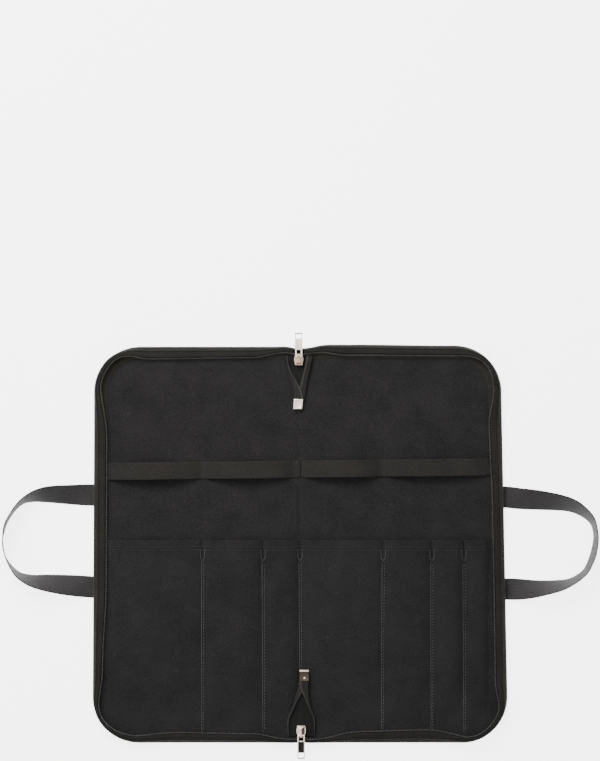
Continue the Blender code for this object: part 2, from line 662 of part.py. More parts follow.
def handle_line(side, table, reach, middle_y):
    """A handle's middle line and tilt, from its upper sewn end round to its lower one."""
    edge = half_width(side, middle_y)
    out, across, tilt = (HANDLE_COLUMNS.index(column) for column in ("out", "across", "tilt"))
    line = []
    for row in smooth_rows(table):
        line.append((side * (edge + reach * row[out]), middle_y + LEG_SPACING / 2 * row[across], max(row[tilt], 0.0)))
    sewn_x = side * (edge - SEWN_LENGTH)
    sewn_off = LEG_SPACING / 2 + LEG_SPLAY
    return [(sewn_x, middle_y + sewn_off, 0.0)] + line + [(sewn_x, middle_y - sewn_off, 0.0)]


def build_handle(name, side, line):
    """Webbing that lies flat at its ends and stands on its inner edge round the bend."""
    sections = []
    for i, (x, y, tilt) in enumerate(line):
        before, after = line[max(i - 1, 0)], line[min(i + 1, len(line) - 1)]
        length = math.dist(before[:2], after[:2])
        out_x, out_y = -side * (after[1] - before[1]) / length, side * (after[0] - before[0]) / length
        flat, upright = math.cos(math.radians(tilt)), math.sin(math.radians(tilt))
        wide, thick = WEBBING_WIDTH / 2, WEBBING_THICKNESS / 2
        z = wide * abs(upright) + thick * abs(flat)
        section = []
        for across, over in ((-wide, thick), (wide, thick), (wide, -thick), (-wide, -thick)):
            plan = across * flat - over * upright
            section.append((x + out_x * plan, y + out_y * plan, z + across * upright + over * flat))
        sections.append(section)
    object_from(loft(sections), "handle_" + name, WEBBING)


def cut_recess(pieces, label, sewn, at_edge):
    """Room under the panel and the binding for one sewn end of a handle."""
    length = math.dist(sewn[:2], at_edge[:2])
    along_x, along_y = (at_edge[0] - sewn[0]) / length, (at_edge[1] - sewn[1]) / length
    half = WEBBING_WIDTH / 2 + CLEARANCE
    start, stop = -CLEARANCE, length + 2 * BINDING_THICKNESS + RIGHT_FLARE
    plan = []
    for distance, across in ((start, -half), (stop, -half), (stop, half), (start, half)):
        plan.append((sewn[0] + along_x * distance - along_y * across, sewn[1] + along_y * distance + along_x * across))
    tool = object_from(prism(plan, -RECESS_DEPTH, RECESS_DEPTH), "recess_" + label, CANVAS)
    for piece in pieces:
        combine(piece, tool, "DIFFERENCE")


def main():
    clear_scene()
    outer_panel, edge_binding = build_shell()
    build_zip_half(-1, "left", LEFT_RIM)
    build_zip_half(1, "right", RIGHT_RIM)
    build_slider("zip_slider_top", TOP_SLIDER_X, 1, TOP_SLIDER_INSET)
    build_slider("zip_slider_bottom", BOTTOM_SLIDER_X, -1, BOTTOM_SLIDER_INSET)
    build_pull("slider_pull_top", TOP_SLIDER_X, 1, TOP_BAR_INSET)
    build_pull("slider_pull_bottom", BOTTOM_SLIDER_X, -1, BOTTOM_BAR_INSET)
    build_tail("top", TOP_SLIDER_X, 1, TOP_SLIDER_INSET, TOP_TAIL_LENGTH, TOP_TAIL_DRIFT, TOP_TIP_BASE)
    build_tail(
        "bottom", BOTTOM_SLIDER_X, -1, BOTTOM_SLIDER_INSET, BOTTOM_TAIL_LENGTH, BOTTOM_TAIL_DRIFT, BOTTOM_TIP_BASE)
    build_pockets()
    build_elastics()
    handles = (
        ("left", -1, LEFT_HANDLE, LEFT_REACH, LEFT_HANDLE_Y),
        ("right", 1, RIGHT_HANDLE, RIGHT_REACH, RIGHT_HANDLE_Y),
    )
    for name, side, table, reach, middle_y in handles:
        line = handle_line(side, table, reach, middle_y)
        build_handle(name, side, line)
        cut_recess((outer_panel, edge_binding), name + "_upper", line[0], line[1])
        cut_recess((outer_panel, edge_binding), name + "_lower", line[-1], line[-2])


main()
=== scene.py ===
# %% [markdown]
# # A canvas roll for kitchen tools, lying open
#
# The roll lies flat with its seven pockets, its elastics and its zip in view, and a webbing handle on each side.
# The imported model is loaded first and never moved. Each soft solid in it is then replaced by cloth of the same
# shape, with its seams, folds and weave, and each hard piece by metal with soft edges.

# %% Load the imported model
import math

import bpy
from mathutils import Matrix, Vector, noise


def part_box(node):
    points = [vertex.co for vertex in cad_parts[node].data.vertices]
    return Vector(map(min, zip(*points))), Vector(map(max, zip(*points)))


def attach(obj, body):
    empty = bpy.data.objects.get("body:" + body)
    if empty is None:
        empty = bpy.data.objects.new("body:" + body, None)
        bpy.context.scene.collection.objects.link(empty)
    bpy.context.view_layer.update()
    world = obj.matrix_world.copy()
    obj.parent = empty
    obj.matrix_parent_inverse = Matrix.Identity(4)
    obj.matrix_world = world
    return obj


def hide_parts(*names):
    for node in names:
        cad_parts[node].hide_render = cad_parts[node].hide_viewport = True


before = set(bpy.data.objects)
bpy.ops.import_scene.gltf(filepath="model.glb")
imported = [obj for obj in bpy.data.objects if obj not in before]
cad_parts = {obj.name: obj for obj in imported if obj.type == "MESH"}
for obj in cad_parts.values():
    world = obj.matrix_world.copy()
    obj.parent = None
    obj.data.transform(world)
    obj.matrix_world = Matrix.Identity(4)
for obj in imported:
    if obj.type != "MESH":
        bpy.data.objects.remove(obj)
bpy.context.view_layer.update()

# %% [markdown]
# ## Sizes that everything shares
#
# A maker writes the pattern's sizes down once and cuts each piece from them. These are the roll's own: its plan,
# the heights of its layers over the table, and the two places where the zip's sliders rest. They are in metres.

# %% Sizes of the roll
ROLL_Y = 0.00135  # the roll's middle stands this far from the origin
BODY_WIDTH, BODY_LENGTH, CORNER_RADIUS = 0.472, 0.456, 0.053
FLARE = {-1: 0.001, 1: 0.0045}  # how much further out each side stands at its foot
# heights over the table: the outside's top, the lining's top, and where what lies on the lining starts
PANEL_TOP, LINING_TOP, INSIDE_BASE = 0.003, 0.0045, 0.0048
RIM_WIDTH, RIM_RISE, COIL_WIDTH, TAPE = 0.0165, 0.010, 0.0024, 0.0012  # the zip's raised rim
SLIDER_X = {1: -0.0003, -1: 0.0025}  # the top slider and the bottom one
SLIDER_INSET = {1: 0.0092, -1: 0.0065}  # how far in from the roll's edge each slider ends
# heights over the table: a slider's underside and top, the middle of the coil, and the pull's bar
SLIDER_BASE, SLIDER_TOP, COIL_Z, BAR_Z = 0.0077, 0.0125, 0.0101, 0.0138


def half_width(side, y):
    """From the fold to the left (-1) or right (1) edge."""
    return BODY_WIDTH / 2 - FLARE[side] * y / (BODY_LENGTH / 2)


def smooth_step(share):
    """From 0 to 1 with a soft start and a soft end."""
    share = min(max(share, 0.0), 1.0)
    return share * share * (3 - 2 * share)


def read_table(rows, at, column, eased=False):
    """A column's value between the rows of a table: straight from row to row, or eased."""
    for before, after in zip(rows, rows[1:]):
        if at <= after[0]:
            share = max((at - before[0]) / (after[0] - before[0]), 0.0)
            share = smooth_step(share) if eased else share
            return before[column] + (after[column] - before[column]) * share
    return rows[-1][column]


# %% [markdown]
# ## Camera
#
# The photograph was taken from straight above with a long lens, so the camera looks straight down. It stands over
# the middle of the picture and not over the roll, because the roll lies in the picture's lower part.

# %% Camera
IMAGE_LONG_SIDE = 0.875  # metres that the picture's long side covers
LENS, SENSOR = 100, 36
VIEW_CENTRE = (0.0012, 0.1896)
camera_height = IMAGE_LONG_SIDE * LENS / SENSOR + SLIDER_BASE
bpy.ops.object.camera_add(location=(*VIEW_CENTRE, camera_height), rotation=(0, 0, 0))
camera = bpy.context.object
camera.name = "camera"
camera.data.lens, camera.data.sensor_width = LENS, SENSOR
camera.data.clip_start, camera.data.clip_end = 0.05, 50
bpy.context.scene.camera = camera
print("camera height", round(camera_height, 3))

# %% [markdown]
# ## Floor and light
#
# Black cloth shows its shape only through soft, broad light. A wide lamp over the head of the roll gives the
# shadow under each edge, one high above it brightens the metal, two weaker ones from the sides lift the ribs, and a
# pale world fills the rest. The floor glows, as a light table does, so that it stays white while the cloth stays black.

# %% Floor and light
bpy.ops.mesh.primitive_plane_add(size=8, location=(0, 0, -0.0002))
floor = bpy.context.object
floor.name = "floor"
floor_material = bpy.data.materials.new("floor_white")
floor_material.use_nodes = True
floor_shader = floor_material.node_tree.nodes["Principled BSDF"]
floor_shader.inputs["Base Color"].default_value = (0.93, 0.93, 0.93, 1)
floor_shader.inputs["Roughness"].default_value = 0.9
floor_shader.inputs["Emission Color"].default_value = (1, 1, 1, 1)
floor_shader.inputs["Emission Strength"].default_value = 4.0
floor.data.materials.append(floor_material)


def add_lamp(name, place, size, power):
    """A square lamp that faces the roll."""
    bpy.ops.object.light_add(type="AREA", location=place)
    lamp = bpy.context.object
    lamp.name = name
    lamp.data.size = size
    lamp.data.energy = power
    lamp.rotation_euler = (-Vector(place)).to_track_quat("-Z", "Y").to_euler()
    return lamp


add_lamp("lamp_head", (-0.6, 1.15, 1.25), 0.8, 41)
add_lamp("lamp_top", (0.0, 0.3, 3.4), 3.0, 50)
add_lamp("lamp_left", (-1.9, -0.3, 1.5), 0.9, 14)
add_lamp("lamp_right", (1.9, 0.1, 1.5), 0.9, 8)
world = bpy.data.worlds.new("studio")
bpy.context.scene.world = world
world.use_nodes = True
world.node_tree.nodes["Background"].inputs["Color"].default_value = (1, 1, 1, 1)
world.node_tree.nodes["Background"].inputs["Strength"].default_value = 0.42

# %% [markdown]
# ## How a cloth material is made
#
# Woven cloth is threads that cross over and under. Two sine waves multiplied give that checkered relief, in real
# size, and it drives both the bump and a small change of colour. Slow noise adds the worn, mottled look, and a
# fine one the lint that black canvas always carries.

# %% Cloth material helper
def set_inputs(tree, made, values):
    """Fill a node's inputs by name or place: a socket is linked, a plain value is set."""
    for key, value in values.items():
        if isinstance(value, bpy.types.NodeSocket):
            tree.links.new(value, made.inputs[key])
        else:
            made.inputs[key].default_value = value
    return made


def start_material(name):
    """A new material, its tree, its shader and the sockets that say where a point lies."""
    material = bpy.data.materials.new(name)
    material.use_nodes = True
    tree = material.node_tree
    return material, tree, tree.nodes["Principled BSDF"], tree.nodes.new("ShaderNodeTexCoord").outputs


def calculate(tree, operation, *values):
    """One Math node; each value is a socket or a number."""
    made = tree.nodes.new("ShaderNodeMath")
    made.operation = operation
    return set_inputs(tree, made, dict(enumerate(values))).outputs[0]


def mix_colour(tree, factor, *colours):
    """Mix two colours by a socket."""
    made = tree.nodes.new("ShaderNodeMix")
    made.data_type = "RGBA"
    first, second = ((*colour, 1) if isinstance(colour, tuple) else colour for colour in colours)
    return set_inputs(tree, made, {"Factor": factor, 6: first, 7: second}).outputs[2]


def noise_value(tree, vector, size, detail):
    """Noise whose grains are about this many metres."""
    made = tree.nodes.new("ShaderNodeTexNoise")
    return set_inputs(tree, made, {"Vector": vector, "Scale": 1 / size, "Detail": detail}).outputs[0]


def map_range(tree, value, low, high, to_low=0.0, to_high=1.0):
    """A value stretched from one range to another."""
    made = tree.nodes.new("ShaderNodeMapRange")
    set_inputs(tree, made, {"Value": value, "From Min": low, "From Max": high, "To Min": to_low, "To Max": to_high})
    return made.outputs["Result"]


def add_bump(tree, shader, height, strength, distance):
    """Give the shader a relief of this many metres."""
    made = set_inputs(
        tree, tree.nodes.new("ShaderNodeBump"), {"Height": height, "Strength": strength, "Distance": distance})
    tree.links.new(made.outputs["Normal"], shader.inputs["Normal"])


def cloth_material(name, dark, light, thread, relief, roughness=0.9, lint=0.3, ribs=None, uv_size=None):
    """Black cloth. thread is the distance between threads and relief their height, both in metres. ribs is the
    distance between ribs along a tape; uv_size is a tape's length and width, whose map then places the weave."""
    material, tree, shader, place = start_material(name)
    flat = body = place["Object"]
    if uv_size:
        scale = tree.nodes.new("ShaderNodeMapping")
        flat = set_inputs(tree, scale, {"Vector": place["UV"], "Scale": (*uv_size, 1)}).outputs["Vector"]
    axes = set_inputs(tree, tree.nodes.new("ShaderNodeSeparateXYZ"), {0: flat}).outputs

    def wave(axis, turn):
        return calculate(tree, "SINE", calculate(tree, "MULTIPLY", axes[axis], turn))

    weave = calculate(tree, "MULTIPLY", wave(0, math.pi / thread), wave(1, math.pi / thread))
    height = calculate(tree, "MULTIPLY_ADD", weave, 0.5, 0.5)
    if ribs:
        rib = calculate(tree, "MULTIPLY_ADD", wave(1, 2 * math.pi / ribs), 0.5, 0.5)
        height = calculate(tree, "ADD", calculate(tree, "MULTIPLY", height, 0.4), rib)
    grain = noise_value(tree, body, 0.0016, 2)
    slow = calculate(tree, "MULTIPLY", noise_value(tree, body, 0.03, 5), 0.38)
    mottle = calculate(tree, "MULTIPLY_ADD", grain, 0.62, slow)
    shade = map_range(tree, calculate(tree, "MULTIPLY_ADD", height, 0.1, mottle), 0.35, 0.68)
    flecks = map_range(tree, noise_value(tree, body, 0.0035, 1), 0.72, 0.82, 0.0, lint)
    colour = mix_colour(tree, flecks, mix_colour(tree, shade, dark, light), tuple(3.2 * part for part in light))
    set_inputs(tree, shader, {
        "Base Color": colour, "Sheen Weight": 0.08, "Sheen Roughness": 0.5, "Specular IOR Level": 0.12,
        "Roughness": map_range(tree, mottle, 0.0, 1.0, roughness - 0.08, min(roughness + 0.06, 1.0)),
    })
    add_bump(tree, shader, calculate(tree, "MULTIPLY_ADD", grain, 0.6, height), 0.6, relief)
    return material


# %% [markdown]
# ## Metal, coil and thread
#
# The sliders are cast, plated with nickel and tumbled, so they are bright and a little cloudy. A fine noise drives
# the roughness. The coil is a nylon thread wound in loops, and the sewing thread is polyester, both greyer than
# the cloth.

# %% Metal, coil and thread materials
def metal_material(name, bright, dull, roughness):
    """Plated metal: cloudy colour, brushed roughness and the faint dents of casting."""
    material, tree, shader, place = start_material(name)
    cloud = noise_value(tree, place["Object"], 0.004, 4)
    fine = noise_value(tree, place["Object"], 0.0009, 3)
    set_inputs(tree, shader, {
        "Base Color": mix_colour(tree, cloud, bright, dull), "Metallic": 1.0,
        "Roughness": map_range(tree, fine, 0.0, 1.0, roughness - 0.1, roughness + 0.12),
    })
    add_bump(tree, shader, cloud, 0.25, 0.00005)
    return material


def thread_material(name, dark, light, roughness, twist):
    """Spun thread or nylon: a fine slanting twist in its colour and relief."""
    material, tree, shader, place = start_material(name)
    wave = tree.nodes.new("ShaderNodeTexWave")
    wave.bands_direction = "DIAGONAL"
    twisted = set_inputs(tree, wave, {"Vector": place["Object"], "Scale": 0.314 / twist}).outputs[1]
    patch = calculate(tree, "MULTIPLY", noise_value(tree, place["Object"], 0.004, 2), 0.7)
    factor = calculate(tree, "MULTIPLY_ADD", twisted, 0.4, patch)
    set_inputs(tree, shader, {"Base Color": mix_colour(tree, factor, dark, light), "Roughness": roughness})
    add_bump(tree, shader, twisted, 0.4, 0.00006)
    return material


EDGE_LENGTH = 0.88  # once round a half, from slider to slider
canvas = cloth_material("canvas", (0.0060, 0.0057, 0.0057), (0.0165, 0.0157, 0.0157), 0.0007, 0.00018)
lining_cloth = cloth_material("lining_cloth", (0.0064, 0.0059, 0.0061), (0.0172, 0.0160, 0.0163), 0.0007, 0.00018)
binding_tape = cloth_material(
    "binding_tape", (0.0092, 0.0087, 0.0068), (0.0196, 0.0188, 0.0154), 0.0005, 0.00008, 0.8,
    uv_size=(2 * EDGE_LENGTH, 0.03))
zip_cloth = cloth_material(
    "zip_cloth", (0.0048, 0.0046, 0.0038), (0.0140, 0.0135, 0.0114), 0.0005, 0.0002, 0.75, ribs=0.0016,
    uv_size=(EDGE_LENGTH, 0.012))
elastic_cloth = cloth_material(
    "elastic_cloth", (0.0084, 0.0074, 0.0064), (0.0190, 0.0171, 0.0153), 0.0006, 0.00022, 0.8, ribs=0.0013,
    uv_size=(0.23, 0.02))
webbing_cloth = cloth_material(
    "webbing_cloth", (0.0134, 0.0123, 0.0125), (0.0318, 0.0295, 0.0300), 0.0008, 0.00025, 0.65, ribs=0.0016,
    uv_size=(0.45, 0.025))
tail_cloth = cloth_material(
    "tail_cloth", (0.0066, 0.0063, 0.0058), (0.0175, 0.0168, 0.0156), 0.0005, 0.0002, 0.75, ribs=0.002,
    uv_size=(0.045, 0.033))
# painted highlight for the free edges of the tail's wings
tail_painted_highlight = cloth_material(
    "tail_painted_highlight", (0.0150, 0.0144, 0.0142), (0.0400, 0.0385, 0.0385), 0.0005, 0.0002, 0.7, uv_size=(0.045, 0.033))
coil_nylon = thread_material("coil_nylon", (0.020, 0.020, 0.019), (0.095, 0.095, 0.090), 0.4, 0.0008)
sewing_thread = thread_material("sewing_thread", (0.020, 0.020, 0.0195), (0.098, 0.098, 0.095), 0.6, 0.0004)
black_thread = thread_material("black_thread", (0.006, 0.006, 0.0055), (0.018, 0.0175, 0.0165), 0.7, 0.0004)
nickel = metal_material("nickel", (0.88, 0.80, 0.68), (0.75, 0.66, 0.54), 0.32)
nickel_rose = metal_material("nickel_rose", (0.90, 0.76, 0.65), (0.68, 0.54, 0.44), 0.34)
nickel_tan = metal_material("nickel_tan", (0.58, 0.44, 0.31), (0.38, 0.27, 0.17), 0.36)
# the bronze colour of the lower clip's face, also used as painted shade on the lower slider's slope
bronze_and_painted_shade = metal_material("bronze_and_painted_shade", (0.115, 0.092, 0.064), (0.048, 0.038, 0.026), 0.45)
inlay_leather = cloth_material(
    "inlay_leather", (0.004, 0.004, 0.004), (0.012, 0.0115, 0.011), 0.0005, 0.0001, 0.55, lint=0.0)
# painted shade for the inside of the tail's trough
tail_painted_shade = cloth_material(
    "tail_painted_shade", (0.0036, 0.0034, 0.0033), (0.0100, 0.0096, 0.0092), 0.0005, 0.0002, 0.85, ribs=0.002,
    uv_size=(0.045, 0.033))
nickel_dark = metal_material("nickel_dark", (0.08, 0.077, 0.072), (0.04, 0.038, 0.035), 0.4)
print("materials", len(bpy.data.materials))

# %% [markdown]
# ## How cloth is laid
#
# Every cloth piece here starts as a flat grid, the way cloth comes off the loom. Its rows are then laid where the
# cloth lies on the roll. Solidify gives it its thickness, and one step of subdivision rounds the cut edges.

# %% Cloth helpers
def lay_cloth(name, rows):
    """A flat grid with a row of points for each station along the piece."""
    bpy.ops.object.select_all(action="DESELECT")
    steps, across = len(rows) - 1, len(rows[0]) - 1
    bpy.ops.mesh.primitive_grid_add(x_subdivisions=steps, y_subdivisions=across, size=1, location=(0, 0, 0))
    piece = bpy.context.object
    piece.name = piece.data.name = name
    for vertex in piece.data.vertices:
        row = round((vertex.co.x + 0.5) * steps)
        vertex.co = rows[row][round((vertex.co.y + 0.5) * across)]
    return piece


def activate(piece):
    """Select one piece alone, so that the next step works on it."""
    bpy.ops.object.select_all(action="DESELECT")
    piece.select_set(True)
    bpy.context.view_layer.objects.active = piece


def apply_step(piece, kind, **values):
    """Add a modifier and apply it at once."""
    activate(piece)
    step = piece.modifiers.new(kind.lower(), kind)
    for key, value in values.items():
        setattr(step, key, value)
    bpy.ops.object.modifier_apply(modifier=step.name)


def clean(piece, merge=0.0):
    """Merge points that lie together and turn all faces outwards."""
    activate(piece)
    bpy.ops.object.mode_set(mode="EDIT")
    bpy.ops.mesh.select_all(action="SELECT")
    if merge:
        bpy.ops.mesh.remove_doubles(threshold=merge)
    bpy.ops.mesh.normals_make_consistent(inside=False)
    bpy.ops.object.mode_set(mode="OBJECT")


def thicken(piece, thickness, offset=0.0, soften=1):
    """Give a laid sheet its thickness and soft edges. Offset 0 grows it both ways."""
    apply_step(piece, "SOLIDIFY", thickness=thickness, offset=offset)
    clean(piece)
    if soften:
        apply_step(piece, "SUBSURF", levels=soften, render_levels=soften)


def settle(piece, material, body, stands_for=(), smooth=50):
    """Give a finished piece its material and say what it stands for and moves with."""
    activate(piece)
    bpy.ops.object.transform_apply(location=True, rotation=True, scale=True)
    bpy.ops.object.shade_smooth_by_angle(angle=math.radians(smooth))
    piece.data.materials.clear()
    piece.data.materials.append(material)
    if stands_for:
        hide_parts(*stands_for)
    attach(piece, body)
    print(piece.name, len(piece.data.polygons), "faces")
    return piece


def ripple(x, y, size, seed=0.0):
    """Gentle unevenness of cloth, from -1 to 1, with waves of about this size."""
    return noise.noise(Vector((x / size, y / size, seed)))


def print_heights(piece):
    heights = [vertex.co.z for vertex in piece.data.vertices]
    print(piece.name, "stands from", round(min(heights), 4), "to", round(max(heights), 4))


# %% [markdown]
# ## Outside of the roll
#
# The outside is padded canvas. It lies under everything else and shows on the underside, and at the edge where the
# binding wraps it. A rounded sheet is laid row by row, so that each row ends on the rounded outline. Its underside is
# a little uneven, as padding makes it, and is pressed in over the binding and over the sewn ends of the handles.

# %% Outside canvas
def row_reach(side, y, inset):
    """How far a row at y reaches to one side, with the corner's round taken off."""
    reach = half_width(side, y) - inset
    radius = CORNER_RADIUS - inset
    into_corner = abs(y) - (BODY_LENGTH / 2 - CORNER_RADIUS)
    if into_corner > 0:
        reach += math.sqrt(max(radius ** 2 - min(into_corner, radius) ** 2, 0.0)) - radius
    return reach


def row_places(inset, middle_steps, corner_steps):
    """Where the rows lie from foot to head, closer together round the corners."""
    straight = BODY_LENGTH / 2 - CORNER_RADIUS
    radius = CORNER_RADIUS - inset
    ends = [straight + radius * math.sin(math.pi / 2 * step / corner_steps) for step in range(1, corner_steps + 1)]
    middle = [straight * (2 * step / middle_steps - 1) for step in range(middle_steps + 1)]
    return [-y for y in ends[::-1]] + middle + ends


def flat_rows(inset, columns, height, middle_steps=70, corner_steps=12):
    """Rows of a sheet that fills the roll's outline; height is called with the place of each point."""
    rows = []
    for y in row_places(inset, middle_steps, corner_steps):
        left, right = -row_reach(-1, y, inset), row_reach(1, y, inset)
        line = []
        for step in range(columns + 1):
            x = left + (right - left) * step / columns
            line.append((x, y + ROLL_Y, height(x, y)))
        rows.append(line)
    return rows


HEAD_START, HEAD_DEPTH, HEAD_NOTCH, HEAD_DROP, HEAD_LIFT = 0.212, 0.014, 0.0034, 0.0013, 0.0011
HEAD_REACH = (0.011, 0.019)  # how far the notch reaches on the left half and on the right one


def settle_head(piece):
    """Draw the roll's top edge in a little at the fold, and lower it on the left half, as it lies in use."""
    for vertex in piece.data.vertices:
        x, y = vertex.co.x, vertex.co.y
        if y > HEAD_START:
            pull = HEAD_NOTCH * math.exp(-(abs(x) / HEAD_REACH[x > 0]) ** 2.2) + HEAD_DROP * smooth_step(-x / 0.03)
            pull -= HEAD_LIFT * smooth_step((x - 0.012) / 0.02) * smooth_step((0.17 - x) / 0.1)
            vertex.co.y -= pull * smooth_step((y - HEAD_START) / HEAD_DEPTH)


# the handles' ends: middle of each pair, distance between legs, how much wider apart inside, sewn length, width
HANDLE_MIDDLE = {-1: 0.0032, 1: 0.0007}
LEG_SPACING, LEG_SPLAY, SEWN_LENGTH, WEBBING_WIDTH = 0.106, 0.0045, 0.055, 0.025


def outside_height(x, y):
    """The underside, raised where the binding and the handle ends lie under it."""
    side = -1 if x < 0 else 1
    edge = min(row_reach(side, y, 0) - abs(x), BODY_LENGTH / 2 - abs(y))
    over_binding = smooth_step((0.0145 - edge) / 0.003)
    inward = half_width(side, HANDLE_MIDDLE[side]) - abs(x)
    leg = LEG_SPACING / 2 + LEG_SPLAY * inward / SEWN_LENGTH
    beside = abs(abs(y - HANDLE_MIDDLE[side]) - leg) - WEBBING_WIDTH / 2
    over_leg = smooth_step((0.006 - max(beside, inward - SEWN_LENGTH)) / 0.0045)
    padding = 0.00018 * (1 + ripple(x, y, 0.045, 9.0))
    return 0.0003 + max(padding * (1 - over_leg), 0.0007 * over_binding, 0.001 * over_leg)


outside = lay_cloth("outside_canvas", flat_rows(0.0015, 120, outside_height, 110))
thicken(outside, 0.0015, -1.0, soften=0)
for vertex in outside.data.vertices:
    if vertex.co.z > 0.0016:
        vertex.co.z = PANEL_TOP - 0.0002 - 0.0008 * math.exp(-(vertex.co.x / 0.005) ** 2)
settle_head(outside)
settle(outside, canvas, "roll", ["outer_panel"])
print_heights(outside)

# %% [markdown]
# ## Lining
#
# The lining is one sheet of thinner canvas. It is smooth, with slow waves where it was pressed, and it keeps a
# crease along the fold. The crease is a narrow valley with a raised lip beside it, which catches the light.

# %% Lining
def lining_height(x, y):
    """The lining's top, over the table."""
    edge = min(row_reach(-1, y, 0) + x, row_reach(1, y, 0) - x, BODY_LENGTH / 2 - abs(y))
    free = smooth_step((edge - 0.012) / 0.02)
    wave = 0.00035 * ripple(x, y, 0.05) + 0.00015 * ripple(x, y, 0.018, 4.0)
    valley = -0.0007 * math.exp(-((x + 0.0002) / 0.0022) ** 2)
    beside_elastic = smooth_step((y - 0.008) / 0.012) * smooth_step((0.076 - y) / 0.012)
    lip = 0.0014 * math.exp(-((x + 0.0030) / 0.0016) ** 2) * beside_elastic
    return LINING_TOP - 0.0002 + free * (wave + valley + lip)


lining = lay_cloth("lining", flat_rows(0.0015, 190, lining_height, 90))
thicken(lining, 0.001, 1.0, soften=0)
settle_head(lining)
settle(lining, lining_cloth, "roll", ["lining_panel"])
print_heights(lining)

# %% [markdown]
# ## Walk round the edge
#
# The zip is sewn round the edge of each half. Its tape stands up from the edge and leans in over the lining, more
# in some places than in others. These tables say how far it leans and how high it rises, by share of the way from
# the top slider round to the bottom one.

# %% The rim's path
LEFT_RIM = (
    (0.00, 0.50, 0.42), (0.06, 0.88, 0.42), (0.19, 0.97, 0.42), (0.24, 0.45, 0.95), (0.28, 0.50, 0.90),
    (0.36, 0.96, 0.42), (0.55, 0.96, 0.42), (0.66, 0.74, 0.66), (0.73, 0.36, 1.00), (0.78, 0.56, 0.80),
    (0.84, 0.78, 0.50), (0.94, 0.70, 0.45), (1.00, 0.36, 0.42),
)
RIGHT_RIM = (
    (0.00, 0.55, 0.42), (0.06, 0.74, 0.50), (0.20, 0.76, 0.50), (0.25, 0.42, 0.95), (0.29, 0.60, 0.80),
    (0.34, 0.96, 0.42), (0.44, 0.84, 0.50), (0.56, 0.84, 0.50), (0.68, 0.88, 0.48), (0.73, 0.50, 0.90),
    (0.77, 0.42, 0.95), (0.84, 0.96, 0.42), (0.92, 0.86, 0.42), (1.00, 0.36, 0.42),
)
END_EASE = 0.05  # share over which the tape turns to the slider's height
SLIDER_GAP, FOOT_INSET = 0.0061, 0.0003  # from a slider's middle to the tape's end, and from the edge to its foot


def edge_points(side, spacing):
    """Points of a half's edge with the way inwards, from the top slider round to the bottom one."""
    half, radius = BODY_LENGTH / 2, CORNER_RADIUS
    y_top = half - radius
    x_top, x_bottom = (side * (half_width(side, y) - radius) for y in (y_top, -y_top))
    start, finish = (SLIDER_X[end] + side * SLIDER_GAP for end in (1, -1))
    points = []

    def go_straight(first, last, nx, ny, closing=0):
        steps = round(math.dist(first, last) / spacing)
        for i in range(steps + closing):
            points.append((*(a + (b - a) * i / steps for a, b in zip(first, last)), nx, ny))

    def go_round(x, y, first_angle):
        steps = round(radius * math.pi / 2 / spacing)
        for i in range(steps):
            angle = math.radians(first_angle - 90 * i / steps)
            nx, ny = side * math.cos(angle), math.sin(angle)
            points.append((x + radius * nx, y + radius * ny, -nx, -ny))

    go_straight((start, half), (x_top, half), 0.0, -1.0)
    go_round(x_top, y_top, 90)
    go_straight((x_top + side * radius, y_top), (x_bottom + side * radius, -y_top), -side, 0.0)
    go_round(x_bottom, -y_top, 0)
    go_straight((x_bottom, -half), (finish, -half), 0.0, 1.0, closing=1)
    return points


def rim_stations(side, spacing=0.005):
    """The edge's points with the tape's lean and rise at each."""
    points = edge_points(side, spacing)
    walked = [0.0]
    for before, after in zip(points, points[1:]):
        walked.append(walked[-1] + math.dist(before[:2], after[:2]))
    table = LEFT_RIM if side < 0 else RIGHT_RIM
    slider_rise = COIL_Z - INSIDE_BASE + TAPE / 2
    stations = []
    for (x, y, nx, ny), length in zip(points, walked):
        along = length / walked[-1]
        end = 1 if along < 0.5 else -1
        free = smooth_step(min(along, 1 - along) / END_EASE)
        lean = RIM_WIDTH * read_table(table, along, 1, eased=True)
        rise = RIM_RISE * read_table(table, along, 2, eased=True)
        slider_lean = SLIDER_INSET[end] - COIL_WIDTH / 2
        lean = slider_lean + (lean - slider_lean) * free
        rise = slider_rise + (rise - slider_rise) * free
        stations.append((x, y + ROLL_Y, nx, ny, lean, rise))
    return stations


def tape_point(station, t, out=0.0):
    """A point of the tape's outer face, from its foot (t = 0) to its free edge (1), moved out from it by out."""
    x, y, nx, ny, lean, rise = station
    foot, crown = (FOOT_INSET, INSIDE_BASE), (FOOT_INSET, INSIDE_BASE + 1.1 * rise)
    curve = list(zip(foot, crown, (lean - COIL_WIDTH - FOOT_INSET, INSIDE_BASE + rise)))
    inset, height = ((1 - t) ** 2 * a + 2 * t * (1 - t) * b + t * t * c for a, b, c in curve)
    along = [2 * (1 - t) * (b - a) + 2 * t * (c - b) for a, b, c in curve]
    length = math.hypot(*along)
    inset -= out * along[1] / length
    height += out * along[0] / length
    return (x + nx * inset, y + ny * inset, height)


RIM = {side: rim_stations(side) for side in (-1, 1)}
print("stations round each half", len(RIM[-1]), len(RIM[1]))

# %% [markdown]
# ## Zip tape
#
# A zip's tape is a ribbed ribbon. Its ribs run along it, so its material takes them from the strip's own map, whose
# one way runs along the tape and the other across it. The outer part of the tape is under the binding.

# %% Zip tape
TAPE_SHARES = [0.0, 0.15, 0.3, 0.42, 0.54, 0.66, 0.78, 0.9, 1.0]
for side, label in ((-1, "left"), (1, "right")):
    tape = lay_cloth("tape_" + label, [[tape_point(s, share, -0.0005) for share in TAPE_SHARES] for s in RIM[side]])
    thicken(tape, 0.0008)
    settle_head(tape)
    settle(tape, zip_cloth, "roll", ["zip_tape_" + label])

# %% [markdown]
# ## Binding
#
# The binding is a strip of canvas tape folded over the raw edge of the outside, the lining and the zip tape, and
# sewn through. It goes from the underside, round the edge and up the zip tape, and ends in a small step that
# shows as a dark line. It is one ring round the whole roll, so its last row is merged with its first.

